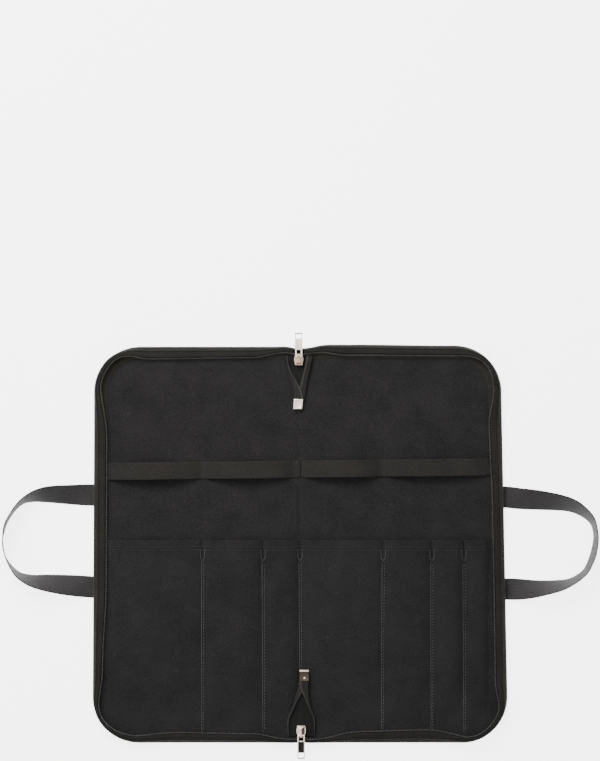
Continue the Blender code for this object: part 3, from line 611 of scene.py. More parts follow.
# %% Binding
BINDING_SHARE = 0.62  # how far up the zip tape the binding reaches


def binding_row(station):
    """The binding's section at one station, from the underside to its edge on the zip tape."""
    x, y, nx, ny = station[:4]
    low = [(0.011, 0.0004), (0.006, 0.0004), (0.0015, 0.0004), (0.0003, 0.0012), (0.0, 0.003)]
    row = [(x + nx * inset, y + ny * inset, z) for inset, z in low]
    row += [tape_point(station, BINDING_SHARE * share, 0.0006) for share in (0.08, 0.25, 0.42, 0.6, 0.8, 0.97)]
    row.append(tape_point(station, BINDING_SHARE, 0.0004))
    return row


def fold_stations(end, count=3):
    """Stations across the fold in the ring's own direction, where the binding lies low under the slider."""
    made = []
    for i in range(1, count + 1):
        x = SLIDER_X[end] + end * SLIDER_GAP * (1 - 2 * i / (count + 1))
        made.append((x, end * BODY_LENGTH / 2 + ROLL_Y, 0.0, -end, 0.009, 0.0022))
    return made


ring = RIM[-1] + fold_stations(-1) + RIM[1][::-1] + fold_stations(1)
order = [binding_row(station) for station in ring]
binding = lay_cloth("binding", order + order[:1])
clean(binding, merge=0.00001)
thicken(binding, 0.0007)
settle_head(binding)
settle(binding, binding_tape, "roll", ["edge_binding"])

# %% [markdown]
# ## Seam band on the lining
#
# Inside the zip, the same tape covers the seam on the lining. It shows as a darker olive band where the zip tape
# stands up. It is a second ring, flat on the lining.

# %% Seam band
def band_row(station):
    """The band's section at one station, from the foot of the zip tape inwards."""
    x, y, nx, ny = station[:4]
    insets = (0.0032, 0.006, 0.010, 0.0138, 0.0146)
    heights = (0.0002, 0.0005, 0.0006, 0.0004, 0.0002)
    return [(x + nx * inset, y + ny * inset, LINING_TOP + h - 0.0001) for inset, h in zip(insets, heights)]


band_rows = [band_row(station) for station in ring]
band = lay_cloth("seam_band", band_rows + band_rows[:1])
clean(band, merge=0.00001)
thicken(band, 0.0003, soften=0)
settle_head(band)
settle(band, binding_tape, "roll")

# %% [markdown]
# ## Coil
#
# The teeth of this zip are one nylon thread wound into loops. One loop is a small torus with few faces, pulled to
# an oval. It is copied along the tape's free edge, each copy turned to the path, at the distance that the real
# loops have.

# %% Coil
COIL_PITCH, SLIDER_LANE = 0.0019, 0.0033  # between loops, and from a slider's middle to the coil in it


def take_pattern(piece):
    """The points and the faces of a piece that is only copied. The piece itself goes."""
    pattern = [vertex.co.copy() for vertex in piece.data.vertices], [tuple(f.vertices) for f in piece.data.polygons]
    bpy.data.objects.remove(piece)
    return pattern


def walk(points, pitch):
    """Places and directions at equal steps along a line of points."""
    places, left = [], 0.0
    for before, after in zip(points, points[1:]):
        before, after = Vector(before), Vector(after)
        length = (after - before).length
        while left < length:
            places.append((before.lerp(after, left / length), (after - before).normalized()))
            left += pitch
        left -= length
    return places


def copy_along(name, pattern, frames):
    """One mesh with a copy of the pattern in each frame."""
    points, faces = [], []
    for matrix in frames:
        start = len(points)
        points += [matrix @ point for point in pattern[0]]
        faces += [tuple(start + index for index in face) for face in pattern[1]]
    mesh = bpy.data.meshes.new(name)
    mesh.from_pydata(points, [], faces)
    made = bpy.data.objects.new(name, mesh)
    bpy.context.scene.collection.objects.link(made)
    return made


def frame_at(place, along):
    """A frame whose X runs along the line and whose Z points up."""
    across = Vector((0, 0, 1)).cross(along).normalized()
    turn = Matrix((along, across, along.cross(across))).transposed().to_4x4()
    return Matrix.Translation(place) @ turn


def coil_line(side):
    """The middle of the coil, into the two sliders."""
    line = []
    for x, y, nx, ny, lean, rise in RIM[side]:
        inset = lean - COIL_WIDTH / 2
        line.append((x + nx * inset, y + ny * inset, INSIDE_BASE + rise - TAPE / 2))
    for end in (1, -1):
        lead = []
        for depth in (0.004, 0.0015):
            y = end * (BODY_LENGTH / 2 - SLIDER_INSET[end] - depth) + ROLL_Y
            lead.append((SLIDER_X[end] + side * SLIDER_LANE, y, COIL_Z))
        line = lead + line if end > 0 else line + lead[::-1]
    return line


bpy.ops.object.select_all(action="DESELECT")
bpy.ops.mesh.primitive_torus_add(major_radius=0.001, minor_radius=0.00038, major_segments=10, minor_segments=4)
coil_loop = take_pattern(bpy.context.object)
LOOP_LEAN = Matrix.Rotation(math.radians(90), 4, "Y") @ Matrix.Rotation(math.radians(22), 4, "X")
LOOP_OVAL = Matrix.Diagonal((0.82, 0.74, 1.15, 1.0))
for side, label in ((-1, "left"), (1, "right")):
    frames = [frame_at(place, along) @ LOOP_LEAN @ LOOP_OVAL for place, along in walk(coil_line(side), COIL_PITCH)]
    coil = copy_along("coil_" + label, coil_loop, frames)
    settle_head(coil)
    settle(coil, coil_nylon, "roll", ["zip_chain_" + label], smooth=60)

# %% [markdown]
# ## Pockets
#
# One sheet makes all seven pockets: it is sewn down along six seams and round its foot, and stands open at its
# mouth. Each pocket is full near the mouth and flat at the foot. Across each pocket the cloth rises quickly from
# the seam and is nearly level in the middle. A crease runs from the mouth down into each seam.

# %% Pockets
POCKET_SEAMS = (-0.2192, -0.11092, -0.04121, 0.00131, 0.09688, 0.1530, 0.18982, 0.2192)
POCKET_FOOT, MOUTH = -0.208, 0.005  # where the pockets are flat, and their open edge
FULLNESS, SEAM_HALF = 0.0068, 0.0019  # how far a full pocket stands up, and half of a seam's flat strip
POCKET_INSET, POCKET_CLOTH, POCKET_LIFT = 0.004, 0.0010, 0.0006  # from the edge, thickness, and its middle's height


def pocket_fullness(y):
    """How far the pocket's shape has grown at y, from the foot to the mouth."""
    return smooth_step((y - POCKET_FOOT) / 0.065)


def pocket_height(x, y):
    """Underside of the pocket cloth."""
    height = INSIDE_BASE
    open_mouth = smooth_step((y - MOUTH + 0.034) / 0.018)
    for left, right in zip(POCKET_SEAMS, POCKET_SEAMS[1:]):
        half_seam = SEAM_HALF * (1 - 0.75 * open_mouth)
        if left + half_seam < x < right - half_seam:
            turn = 2 * (x - left - half_seam) / (right - left - 2 * half_seam) - 1
            beside = min(x - left, right - x) - half_seam
            pulled = 1 - math.exp(-beside / 0.0028)
            full = (1 - abs(turn) ** 3) * (1 - 0.45 * open_mouth) + 0.45 * open_mouth * pulled
            height += FULLNESS * pocket_fullness(y) * full
            height += 0.0005 * ripple(x, y, 0.035, 2.0) * full * pocket_fullness(y)
            height += 0.0003 * ripple(x, y * 0.4, 0.012, 7.0) * full
    return height


def pocket_columns():
    """Where the columns stand, closer together beside the seams."""
    columns = [-1.0]
    for left, right in zip(POCKET_SEAMS, POCKET_SEAMS[1:]):
        count = max(round((right - left) / 0.0045), 6)
        near = (0.0, 0.0006, SEAM_HALF, 0.003, 0.0045, 0.0065)
        inner = right - left - 2 * near[-1]
        columns += [left + step for step in near[:-1]]
        columns += [left + near[-1] + inner * step / count for step in range(count + 1)]
        columns += [right - step for step in near[-2:0:-1]]
    return columns + [POCKET_SEAMS[-1], 1.0]


def hem_height(y):
    """How far the folded hem lifts the cloth beside the mouth."""
    return 0.0005 * smooth_step((y - MOUTH + 0.0105) / 0.0025)


pocket_rows = []
below_mouth = [place for place in row_places(POCKET_INSET, 96, 12) if place < MOUTH - 0.003]
for y in below_mouth + [MOUTH - 0.0012, MOUTH]:
    left, right = -row_reach(-1, y, POCKET_INSET), row_reach(1, y, POCKET_INSET)
    row = [min(max(x, left), right) for x in pocket_columns()]
    pocket_rows.append([(x, y + ROLL_Y, pocket_height(x, y) + POCKET_LIFT + hem_height(y)) for x in row])
pockets = lay_cloth("pockets", pocket_rows)
clean(pockets, merge=0.00002)
thicken(pockets, POCKET_CLOTH, soften=0)
settle(pockets, lining_cloth, "roll", ["pocket_panel"])
mouth_length = sum(math.dist(a, b) for a, b in zip(pocket_rows[-1], pocket_rows[-1][1:]))
cloth_area = sum(face.area for face in pockets.data.polygons) / 2
print("pocket cloth", round(cloth_area, 4), "square metres; mouth", round(mouth_length, 4), "metres long")

# %% [markdown]
# ## Elastics
#
# Two lengths of woven elastic cross the roll. Each is tacked down at its ends and once between, and bows up between
# the tacks, where it holds a tool. Its cords run along it.

# %% Elastics
ELASTIC_Y, ELASTIC_SLOPE, ELASTIC_WIDTH, ELASTIC_BOW = 0.0865, 0.012, 0.020, 0.0105
TACK_HALF, BOW_STEPS = 0.0025, 30


def elastic_row(x, bow):
    """A row across the elastic. Where it lies flat, its edges are drawn down a little."""
    y = ELASTIC_Y + ELASTIC_SLOPE * x + ROLL_Y
    row = []
    for step in range(9):
        across = 2 * step / 8 - 1
        height = INSIDE_BASE + 0.0006 + ELASTIC_BOW * bow - 0.0002 * (1 - bow) * across ** 2
        row.append((x, y + ELASTIC_WIDTH / 2 * across, height))
    return row


def lay_elastic(name, tacks, tab):
    """An elastic from tack to tack, with a tab across the fold where one is given."""
    rows = [elastic_row(tacks[0] - TACK_HALF, 0.0)]
    for left, right in zip(tacks, tacks[1:]):
        left, right = left + TACK_HALF, right - TACK_HALF
        for step in range(BOW_STEPS + 1):
            turn = 2 * step / BOW_STEPS - 1
            rows.append(elastic_row(left + (right - left) * step / BOW_STEPS, 1 - abs(turn) ** 2.5))
    rows.append(elastic_row(tacks[-1] + TACK_HALF, 0.0))
    if tab:
        rows.append(elastic_row(tab, 0.0))
    piece = lay_cloth(name, rows)
    thicken(piece, 0.0011)
    return piece


end_left, end_right = (half_width(side, ELASTIC_Y) - 0.0125 for side in (-1, 1))
ELASTIC_TACKS = {"left": (-end_left, POCKET_SEAMS[1], -0.0043), "right": (0.0043, POCKET_SEAMS[4], end_right)}
FOLD_TAB = {"left": 0.0017, "right": 0.0}
for label, tacks in ELASTIC_TACKS.items():
    elastic = lay_elastic("elastic_band_" + label, tacks, FOLD_TAB[label])
    settle(elastic, elastic_cloth, "roll", ["elastic_" + label])

# %% [markdown]
# ## Handles
#
# The handles are flat webbing, sewn under the edge and bent round in a loop that lies on the table. Webbing can't
# bend sideways in its own plane, so it turns up on its inner edge as it goes round. The table says how far out
# each point is, how far across, and how far the webbing is tilted.

# %% Handles
LEFT_HANDLE = (
    (0.00, 1.00, 0), (0.04, 1.00, 0), (0.24, 1.01, 20), (0.46, 1.02, 35), (0.58, 1.00, 48), (0.68, 0.95, 63),
    (0.78, 0.85, 78), (0.87, 0.66, 86), (0.95, 0.38, 90), (0.98, 0.08, 97), (0.978, -0.12, 100), (0.95, -0.34, 98),
    (0.88, -0.57, 90), (0.80, -0.73, 80), (0.67, -0.84, 63), (0.53, -0.89, 46), (0.34, -0.94, 28), (0.04, -1.00, 0),
    (0.00, -1.00, 0),
)
RIGHT_HANDLE = (
    (0.00, 1.00, 0), (0.04, 1.00, 0), (0.18, 0.97, 8), (0.38, 0.94, 22), (0.60, 0.89, 39), (0.74, 0.82, 51),
    (0.84, 0.71, 62), (0.925, 0.56, 72), (0.972, 0.38, 82), (0.99, 0.12, 84), (0.965, -0.20, 82), (0.92, -0.44, 83),
    (0.875, -0.60, 83), (0.80, -0.73, 81), (0.71, -0.83, 76), (0.60, -0.90, 65), (0.42, -0.96, 50),
    (0.25, -0.99, 30), (0.04, -1.00, 0), (0.00, -1.00, 0),
)
HANDLE_REACH, WEBBING_THICKNESS = 0.106, 0.0012


def smooth_curve(rows, steps):
    """Rows read from a smooth curve through a table's rows."""
    padded = (rows[0],) + rows + (rows[-1],)
    made = []
    for i in range(1, len(padded) - 2):
        four = padded[i - 1:i + 3]
        for step in range(steps):
            t = step / steps
            made.append([
                0.5 * (2 * b + (c - a) * t + (2 * a - 5 * b + 4 * c - d) * t * t + (3 * b - a - 3 * c + d) * t ** 3)
                for a, b, c, d in zip(*four)
            ])
    return made + [list(rows[-1])]


def handle_stations(side, table, middle_y):
    """The webbing's middle line and tilt, from one sewn end round to the other."""
    edge = half_width(side, middle_y)
    line = []
    for out, across, tilt in smooth_curve(table, 8):
        place = (side * (edge + HANDLE_REACH * out), middle_y + LEG_SPACING / 2 * across + ROLL_Y)
        line.append((*place, max(tilt, 0.0)))
    off = LEG_SPACING / 2 + LEG_SPLAY
    sewn = [(edge - SEWN_LENGTH * share, off - LEG_SPLAY * (1 - share)) for share in (1, 0.75, 0.5, 0.25)]
    first = [(side * x, middle_y + y + ROLL_Y, 0.0) for x, y in sewn]
    last = [(side * x, middle_y - y + ROLL_Y, 0.0) for x, y in sewn[::-1]]
    return first + line + last


def webbing_rows(side, stations):
    """The webbing's rows, square to its middle line and turned up by its tilt."""
    rows = []
    for i, (x, y, tilt) in enumerate(stations):
        before, after = stations[max(i - 1, 0)], stations[min(i + 1, len(stations) - 1)]
        length = math.dist(before[:2], after[:2])
        out_x, out_y = -side * (after[1] - before[1]) / length, side * (after[0] - before[0]) / length
        flat, upright = math.cos(math.radians(tilt)), math.sin(math.radians(tilt))
        wide, thick = WEBBING_WIDTH / 2, WEBBING_THICKNESS / 2
        middle = wide * abs(upright) + thick * abs(flat)
        row = []
        for step in range(11):
            across = wide * (2 * step / 10 - 1)
            row.append((x + out_x * across * flat, y + out_y * across * flat, middle + across * upright))
        rows.append(row)
    return rows


HANDLES = {"left": (-1, LEFT_HANDLE, HANDLE_MIDDLE[-1]), "right": (1, RIGHT_HANDLE, HANDLE_MIDDLE[1])}
for label, (side, table, middle_y) in HANDLES.items():
    handle = lay_cloth("webbing_" + label, webbing_rows(side, handle_stations(side, table, middle_y)))
    thicken(handle, WEBBING_THICKNESS)
    settle(handle, webbing_cloth, "roll", ["handle_" + label])

# %% [markdown]
# ## Folded ends of the zip
#
# Behind each slider the two closed tapes make a trough, whose wings fold in more and more until one lies over the
# other, and a metal clip holds the tip. The tables give, in millimetres down the tail, where the left fold, the
# left wing's free edge, the right wing's free edge and the right fold lie. The inside of the trough is the tape's
# other side and lies in shade, so its faces have a darker material as painted shade, and the free edges a lighter
# one as a painted highlight.

# %% Tails
TOP_TAIL = (
    (0.0, -13.9, -13.2, 8.6, 15.2), (6.0, -13.2, -12.7, 7.6, 14.2), (10.7, -12.6, -11.6, 6.6, 13.2),
    (16.9, -10.9, -9.0, 5.2, 12.0), (23.0, -9.0, -5.6, 3.7, 10.7), (29.7, -7.2, -1.8, 2.1, 9.4),
    (33.8, -6.5, 0.4, 1.0, 8.8), (40.5, -6.1, 3.8, -1.0, 7.6), (49.0, -6.3, 5.4, -2.6, 6.6),
)
BOTTOM_TAIL = (
    (0.0, -12.4, -11.8, 17.6, 18.2), (5.4, -13.0, -12.0, 17.6, 18.6), (12.4, -13.8, -12.2, 17.8, 19.0),
    (19.4, -12.9, -10.8, 16.0, 18.2), (28.4, -8.6, -6.2, 12.0, 14.2), (39.4, -5.0, -1.8, 7.8, 11.8),
    (47.5, -3.2, 3.4, 3.9, 11.2), (55.4, -1.2, 8.6, -0.2, 10.6), (64.0, 0.0, 9.6, 0.6, 11.8),
)
TAIL_START = 0.2165
# shares of the tape's width: its inner side with painted shade, from its middle, and its edge with painted highlight
INSIDE_SHARE, EDGE_SHARE = 0.29, 0.045


def tail_row(table, end, down, base, wing, over, lift):
    """The tape's section: left wing, left side, base, right side and right wing. over is the side that lies on top,
    and lift is how far the free edges stand up."""
    left, left_free, right_free, right = (read_table(table, down, column) / 1000 for column in range(1, 5))
    y = end * (TAIL_START - down / 1000)
    crossed = smooth_step((down - 22) / 14) * 0.0008
    high_left, high_right = (wing + (crossed if over == side else 0.0) for side in (-1, 1))
    low = base + 0.0004
    section = [
        (left_free, high_left + lift), (left_free * 0.5 + left * 0.5, high_left + 0.4 * lift),
        (left + 0.0007, high_left), (left, high_left - 0.0006), (left + 0.0005, (low + high_left) / 2),
        (left + 0.0022, low + 0.0002), (left * 0.5 + right * 0.5, low), (right - 0.0022, low + 0.0002),
        (right - 0.0005, (low + high_right) / 2), (right, high_right - 0.0006), (right - 0.0007, high_right),
        (right_free * 0.5 + right * 0.5, high_right + 0.4 * lift), (right_free, high_right + lift),
    ]
    return [(x, y, z) for x, z in section]


TAIL_BASE, TAIL_STEPS = 0.0064, 40  # how high a tail's middle lies at its slider, and its rows
for label, end, table, tip_base in (("top", 1, TOP_TAIL, 0.0059), ("bottom", -1, BOTTOM_TAIL, 0.0109)):
    rows = []
    for step in range(-2, TAIL_STEPS + 1):
        share = step / TAIL_STEPS
        climbed = min(max(share - 0.16, 0.0) / 0.7, 1.0)
        here = TAIL_BASE + (tip_base - TAIL_BASE) * climbed
        standing = smooth_step(share / 0.12) * (1 - share) ** 1.2
        wing = here + 0.0013 + 0.0024 * standing
        lift = 0.0013 * smooth_step((0.86 - share) / 0.2)
        rows.append(tail_row(table, end, table[-1][0] * share, here, wing, -end, lift))
    tail = lay_cloth("tail_" + label, rows)
    thicken(tail, 0.0006)
    settle(tail, tail_cloth, "roll", ["zip_tail_" + label])
    tail.data.materials.append(tail_painted_shade)
    tail.data.materials.append(tail_painted_highlight)
    # faces inside the trough take the painted shade, and faces along the free edges the painted highlight
    corners = tail.data.uv_layers.active.data
    for face in tail.data.polygons:
        aside = abs(sum(corners[corner].uv.y for corner in face.loop_indices) / len(face.loop_indices) - 0.5)
        inside = aside < INSIDE_SHARE and face.normal.z > -0.2
        face.material_index = 1 if inside else 2 if aside > 0.5 - EDGE_SHARE else 0

# %% [markdown]
# ## Clips
#
# A clip is a strip of sheet metal bent round the folded tip. It starts as a cube, is cut open at the mouth end with
# an inset and an extrusion inwards, and gets a shallow pressed panel on top. A bevel rounds what a hand touches.

# %% Clips
def start_cube(name, low, high):
    """A cube between two corners, alone selected."""
    bpy.ops.object.select_all(action="DESELECT")
    bpy.ops.mesh.primitive_cube_add(size=1, location=[(a + b) / 2 for a, b in zip(low, high)])
    piece = bpy.context.object
    piece.name = piece.data.name = name
    piece.scale = [b - a for a, b in zip(low, high)]
    bpy.ops.object.transform_apply(location=True, rotation=True, scale=True)
    return piece


def select_faces(piece, test):
    """Select the faces whose middle and normal pass a test, ready for the next step in edit mode."""
    bpy.ops.object.mode_set(mode="EDIT")
    bpy.ops.mesh.select_mode(type="FACE")
    bpy.ops.mesh.select_all(action="DESELECT")
    bpy.ops.object.mode_set(mode="OBJECT")
    for face in piece.data.polygons:
        face.select = test(face.center, face.normal)
    bpy.ops.object.mode_set(mode="EDIT")


def press(piece, test, inset=0.0, push=None):
    """Inset the faces that pass a test, then push them in or out."""
    select_faces(piece, test)
    if inset:
        bpy.ops.mesh.inset(thickness=inset)
    if push:
        bpy.ops.mesh.extrude_region_move(TRANSFORM_OT_translate={"value": push})
    bpy.ops.object.mode_set(mode="OBJECT")


def cut_planes(piece, planes, **options):
    """Bisect the whole piece along each plane, given as a point and a normal."""
    activate(piece)
    bpy.ops.object.mode_set(mode="EDIT")
    for point, normal in planes:
        bpy.ops.mesh.select_all(action="SELECT")
        bpy.ops.mesh.bisect(plane_co=point, plane_no=normal, **options)
    bpy.ops.object.mode_set(mode="OBJECT")


def bevel_all(piece, width, segments=2):
    """Round every sharp edge of a hard piece."""
    apply_step(piece, "BEVEL", width=width, segments=segments, limit_method="ANGLE", angle_limit=math.radians(30))


CLIP_SHEET, MOUTH_DEPTH = 0.0008, 0.004
CLIP_SKEW = {"top": 0.10, "bottom": -0.02}  # how far the clip leans aside for each metre along the tail
# what the bent metal takes off the solid's box at its low corner and at its high one
CLIP_TRIM = {
    "top": ((0.0010, 0.0006, 0.0), (0.0006, 0.0004, 0.0)),
    "bottom": ((0.0006, 0.0008, 0.0), (0.0007, -0.0007, 0.0)),
}


def open_clip(label, end):
    """A clip with its mouth open towards the tail, and the two corners of its box."""
    low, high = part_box("tail_clip_" + label)
    low, high = low + Vector(CLIP_TRIM[label][0]), high - Vector(CLIP_TRIM[label][1])
    clip = start_cube("clip_" + label, low, high)
    press(clip, lambda centre, normal: normal.y * end > 0.9, CLIP_SHEET, (0, -end * MOUTH_DEPTH, 0))
    return clip, low, high


def finish_clip(clip, label, bevel):
    """Skew a clip about its middle, round its edges and settle it."""
    for vertex in clip.data.vertices:
        vertex.co.x += CLIP_SKEW[label] * (vertex.co.y - (low.y + high.y) / 2)
    bevel_all(clip, bevel)
    settle(clip, nickel, "roll", ["tail_clip_" + label], smooth=30)


def on_top(centre, normal):
    """Whether a face looks up and lies in the clip's top."""
    return normal.z > 0.9 and centre.z > high.z - 0.0001


clip, low, high = open_clip("top", 1)
press(clip, on_top, 0.0017, (0, 0, -0.0004))
finish_clip(clip, "top", 0.0003)

# %% [markdown]
# ## The lower clip
#
# The lower clip shows its seam side: a bright rolled edge at the far end, a darker face, and the small rivet that
# pins it. The face is a second material, given to the faces between the rolled edge and the mouth.

# %% Lower clip
ROLLED_EDGE, FACE_DEPTH, RIVET_RADIUS = 0.0020, 0.0003, 0.0013
clip, low, high = open_clip("bottom", -1)
edge_start, face_height = high.y - ROLLED_EDGE, high.z - FACE_DEPTH
cut_planes(clip, [((0, edge_start, 0), (0, 1, 0))])
press(clip, lambda centre, normal: on_top(centre, normal) and centre.y > edge_start, push=(0, 0, 0.0006))
press(clip, lambda centre, normal: on_top(centre, normal) and centre.y < edge_start, 0.0004, (0, 0, -FACE_DEPTH))
finish_clip(clip, "bottom", 0.00015)
clip.data.materials.append(bronze_and_painted_shade)
for face in clip.data.polygons:
    face.material_index = int(face.center.y < edge_start and face.center.z > face_height - 0.0002)
bpy.ops.object.select_all(action="DESELECT")
rivet_place = ((low.x + high.x) / 2 + 0.0004, low.y + 0.0032, face_height)
bpy.ops.mesh.primitive_uv_sphere_add(segments=16, ring_count=8, radius=RIVET_RADIUS, location=rivet_place)
rivet = bpy.context.object
rivet.name = rivet.data.name = "clip_rivet"
bpy.ops.object.mode_set(mode="EDIT")
bpy.ops.mesh.select_all(action="SELECT")
bpy.ops.transform.resize(value=(1, 1, 0.5), center_override=(0, 0, face_height))
bpy.ops.object.mode_set(mode="OBJECT")
cut_planes(rivet, [((0, 0, face_height - 0.0001), (0, 0, -1))], clear_outer=True, use_fill=True)
settle(rivet, nickel, "roll", smooth=40)

# %% [markdown]
# ## Sliders
#
# A slider is two plates held apart by a post, with the coil running between them. The top plate starts as a cube,
# is bisected across where its outline turns, and each cut is drawn in or out. Its crown is an inset face, raised
# and drawn in, which gives the facets that glint in the photograph. The crown of the top slider is tan, and on
# the lower one the slope that faces away from the light carries painted shade; those faces have a second metal.

# %% Sliders
SLIDER_LENGTH, SLIDER_WIDTH, PLATE, BAR_FROM_MOUTH = 0.013, 0.011, 0.001, 0.0026
# share of the length from the outer end, and share of the width there
SLIDER_PLANS = {
    1: ((0.0, 0.62), (0.12, 0.74), (0.45, 1.0), (0.8, 0.82), (1.0, 0.82)),
    -1: ((0.0, 0.34), (0.1, 0.62), (0.28, 0.88), (0.5, 1.0), (0.75, 0.96), (1.0, 0.84)),
}
CROWN_TOP = {1: 0.45, -1: 0.08}  # how wide the crown's top is: the lower slider's ends in a ridge


def mouth_place(end):
    """Where a slider's outer end stands along the roll."""
    return end * (BODY_LENGTH / 2 - SLIDER_INSET[end]) + ROLL_Y


def bar_place(end):
    """Where the bar that carries the pull stands along the roll."""
    return mouth_place(end) - end * BAR_FROM_MOUTH


def slider_plate(name, end, low, crown=0.0):
    """One plate of a slider, bisected and shaped to its outline, with a raised crown where one is given."""
    x, mouth, plan, half = SLIDER_X[end], mouth_place(end), SLIDER_PLANS[end], SLIDER_WIDTH / 2
    near_y, far_y = sorted((mouth, mouth - end * SLIDER_LENGTH))
    high = low + PLATE
    piece = start_cube(name, (x - half, near_y, low), (x + half, far_y, high))
    cut_planes(piece, [((x, mouth - end * SLIDER_LENGTH * share, low), (0, 1, 0)) for share, _ in plan[1:-1]])
    for vertex in piece.data.vertices:
        share = (mouth - vertex.co.y) * end / SLIDER_LENGTH
        vertex.co.x = x + (vertex.co.x - x) * read_table(plan, share, 1)
    if crown:
        press(piece, lambda centre, normal: normal.z > 0.9, 0.0012, (0, 0, crown))
        bpy.ops.object.mode_set(mode="EDIT")
        middle = (x, (near_y + far_y) / 2, high + crown)
        bpy.ops.transform.resize(value=(CROWN_TOP[end], 0.72, 1), center_override=middle)
        bpy.ops.object.mode_set(mode="OBJECT")
    return piece


def join_pieces(pieces, name):
    """Join finished pieces as one object."""
    bpy.ops.object.select_all(action="DESELECT")
    for piece in pieces:
        piece.select_set(True)
    bpy.context.view_layer.objects.active = pieces[0]
    bpy.ops.object.join()
    pieces[0].name = pieces[0].data.name = name
    return pieces[0]


def bridge_hole(piece, test, inset=0.0):
    """Cut a hole through: join the edges of two open sides, or of two inset faces."""
    select_faces(piece, test)
    if inset:
        bpy.ops.mesh.inset(thickness=inset)
    else:
        bpy.ops.mesh.delete(type="FACE")
        bpy.ops.mesh.select_mode(type="EDGE")
        bpy.ops.mesh.select_all(action="DESELECT")
        bpy.ops.mesh.select_non_manifold()
    bpy.ops.mesh.bridge_edge_loops()
    bpy.ops.object.mode_set(mode="OBJECT")


def bail_piece(name, x, bar_y, low):
    """The arch over the pull's bar: a block with a hole bridged through it from side to side."""
    piece = start_cube(name, (x - 0.0011, bar_y - 0.0024, low - 0.0002), (x + 0.0011, bar_y + 0.0024, BAR_Z + 0.0023))
    bridge_hole(piece, lambda centre, normal: abs(normal.x) > 0.9, 0.001)
    bevel_all(piece, 0.0004)
    return piece


for label, end, finish, shade in (("top", 1, nickel, nickel_tan), ("bottom", -1, nickel_rose, bronze_and_painted_shade)):
    x, mouth = SLIDER_X[end], mouth_place(end)
    lower = slider_plate("lower_plate", end, SLIDER_BASE)
    upper = slider_plate("upper_plate", end, SLIDER_TOP - PLATE - 0.0002, 0.0009)
    post_ends = sorted((mouth - end * 0.002, mouth - end * 0.007))
    post = start_cube("post", (x - 0.0012, post_ends[0], SLIDER_BASE), (x + 0.0012, post_ends[1], SLIDER_TOP - 0.0005))
    for plate in (lower, upper):
        bevel_all(plate, 0.0003)
    bail = bail_piece("bail", x, bar_place(end), SLIDER_TOP)
    slider = join_pieces([lower, upper, post, bail], "slider_" + label)
    settle(slider, finish, "roll", ["zip_slider_" + label], smooth=30)
    # the second metal: the top slider's tan crown, and on the lower slider painted shade on the slope away from the
    # light
    slider.data.materials.append(shade)
    for face in slider.data.polygons:
        aside = face.center.x - x
        inner = abs(aside) < 0.0044 and face.center.z > SLIDER_TOP - 0.0003 and face.normal.z > 0.3
        face.material_index = int(inner and (end > 0 or (face.normal.x > 0.02 and aside > 0.0005)))

# %% [markdown]
# ## Pulls
#
# Each pull is a flat plate with a square eye round the bail and a window at its tip. The plate is a cube, bisected
# along the sides of each hole. The faces over and under a hole are then bridged, which cuts the hole through. The
# end of the plate is darker, so its faces have a darker metal.

# %% Pulls
PULL_LENGTH, PULL_WIDTH, PULL_THICKNESS = 0.0267, 0.0084, 0.0014
# half width of each hole, and how far from the bar it starts and ends
HOLES = {
    1: ((0.0023, 0.00075, 0.00715), (0.0032, 0.0202, 0.0254)),
    -1: ((0.0026, 0.00075, 0.0062), (0.0031, 0.0076, 0.0192), (0.0034, 0.0202, 0.0254)),
}
DARK_TIP = {1: 0.0252, -1: 0.0200}  # how far from the bar the darker end starts


def pull_plate(name, end):
    """A pull's plate, bisected along both sides of each hole, whose faces are then taken out and bridged."""
    x, bar_y = SLIDER_X[end], bar_place(end)
    low_y, high_y = sorted((bar_y - end * 0.00075, bar_y + end * PULL_LENGTH))
    half, thick = PULL_WIDTH / 2, PULL_THICKNESS / 2
    piece = start_cube(name, (x - half, low_y, BAR_Z - thick), (x + half, high_y, BAR_Z + thick))
    planes = []
    for wide, near, far in HOLES[end]:
        planes += [((x + side * wide, 0, 0), (1, 0, 0)) for side in (-1, 1)]
        planes += [((0, bar_y + end * along, 0), (0, 1, 0)) for along in (near, far)]
    cut_planes(piece, planes)
    for wide, near, far in HOLES[end]:
        def in_hole(centre, normal):
            along = (centre.y - bar_y) * end
            return abs(normal.z) > 0.9 and abs(centre.x - x) < wide and near < along < far
        bridge_hole(piece, in_hole)
    clean(piece)
    bevel_all(piece, 0.00035, 3)
    return piece


for label, end in (("top", 1), ("bottom", -1)):
    pull = pull_plate("pull_" + label, end)
    settle(pull, nickel, label + "_pull", ["slider_pull_" + label], smooth=30)
    pull.data.materials.append(nickel_dark)
    for face in pull.data.polygons:
        face.material_index = int((face.center.y - bar_place(end)) * end > DARK_TIP[end])

# %% [markdown]
# ## Inlay of the lower pull
#
# The lower pull is a frame with a black inlay between its eye and its window. The inlay fills the middle hole of
# the plate and stands a little proud of it, so its long edges catch a thin line of light.

# %% Inlay
half, near, far = HOLES[-1][1]
x, bar_y, proud = SLIDER_X[-1], bar_place(-1), 0.0009
inlay = start_cube("pull_inlay", (x - half, bar_y - far, BAR_Z - proud), (x + half, bar_y - near, BAR_Z + proud))
press(inlay, lambda centre, normal: abs(normal.z) > 0.9, 0.0007)
bevel_all(inlay, 0.0003)
settle(inlay, inlay_leather, "bottom_pull", smooth=30)

# %% [markdown]
# ## Stitches
#
# A stitch is a short rounded grain of thread, half sunk in the cloth. One is modelled from a cylinder with few
# sides, drawn in at its ends, and copied down every seam. The pocket seams are sewn twice, and each pair of rows
# opens into a small loop below the hem.

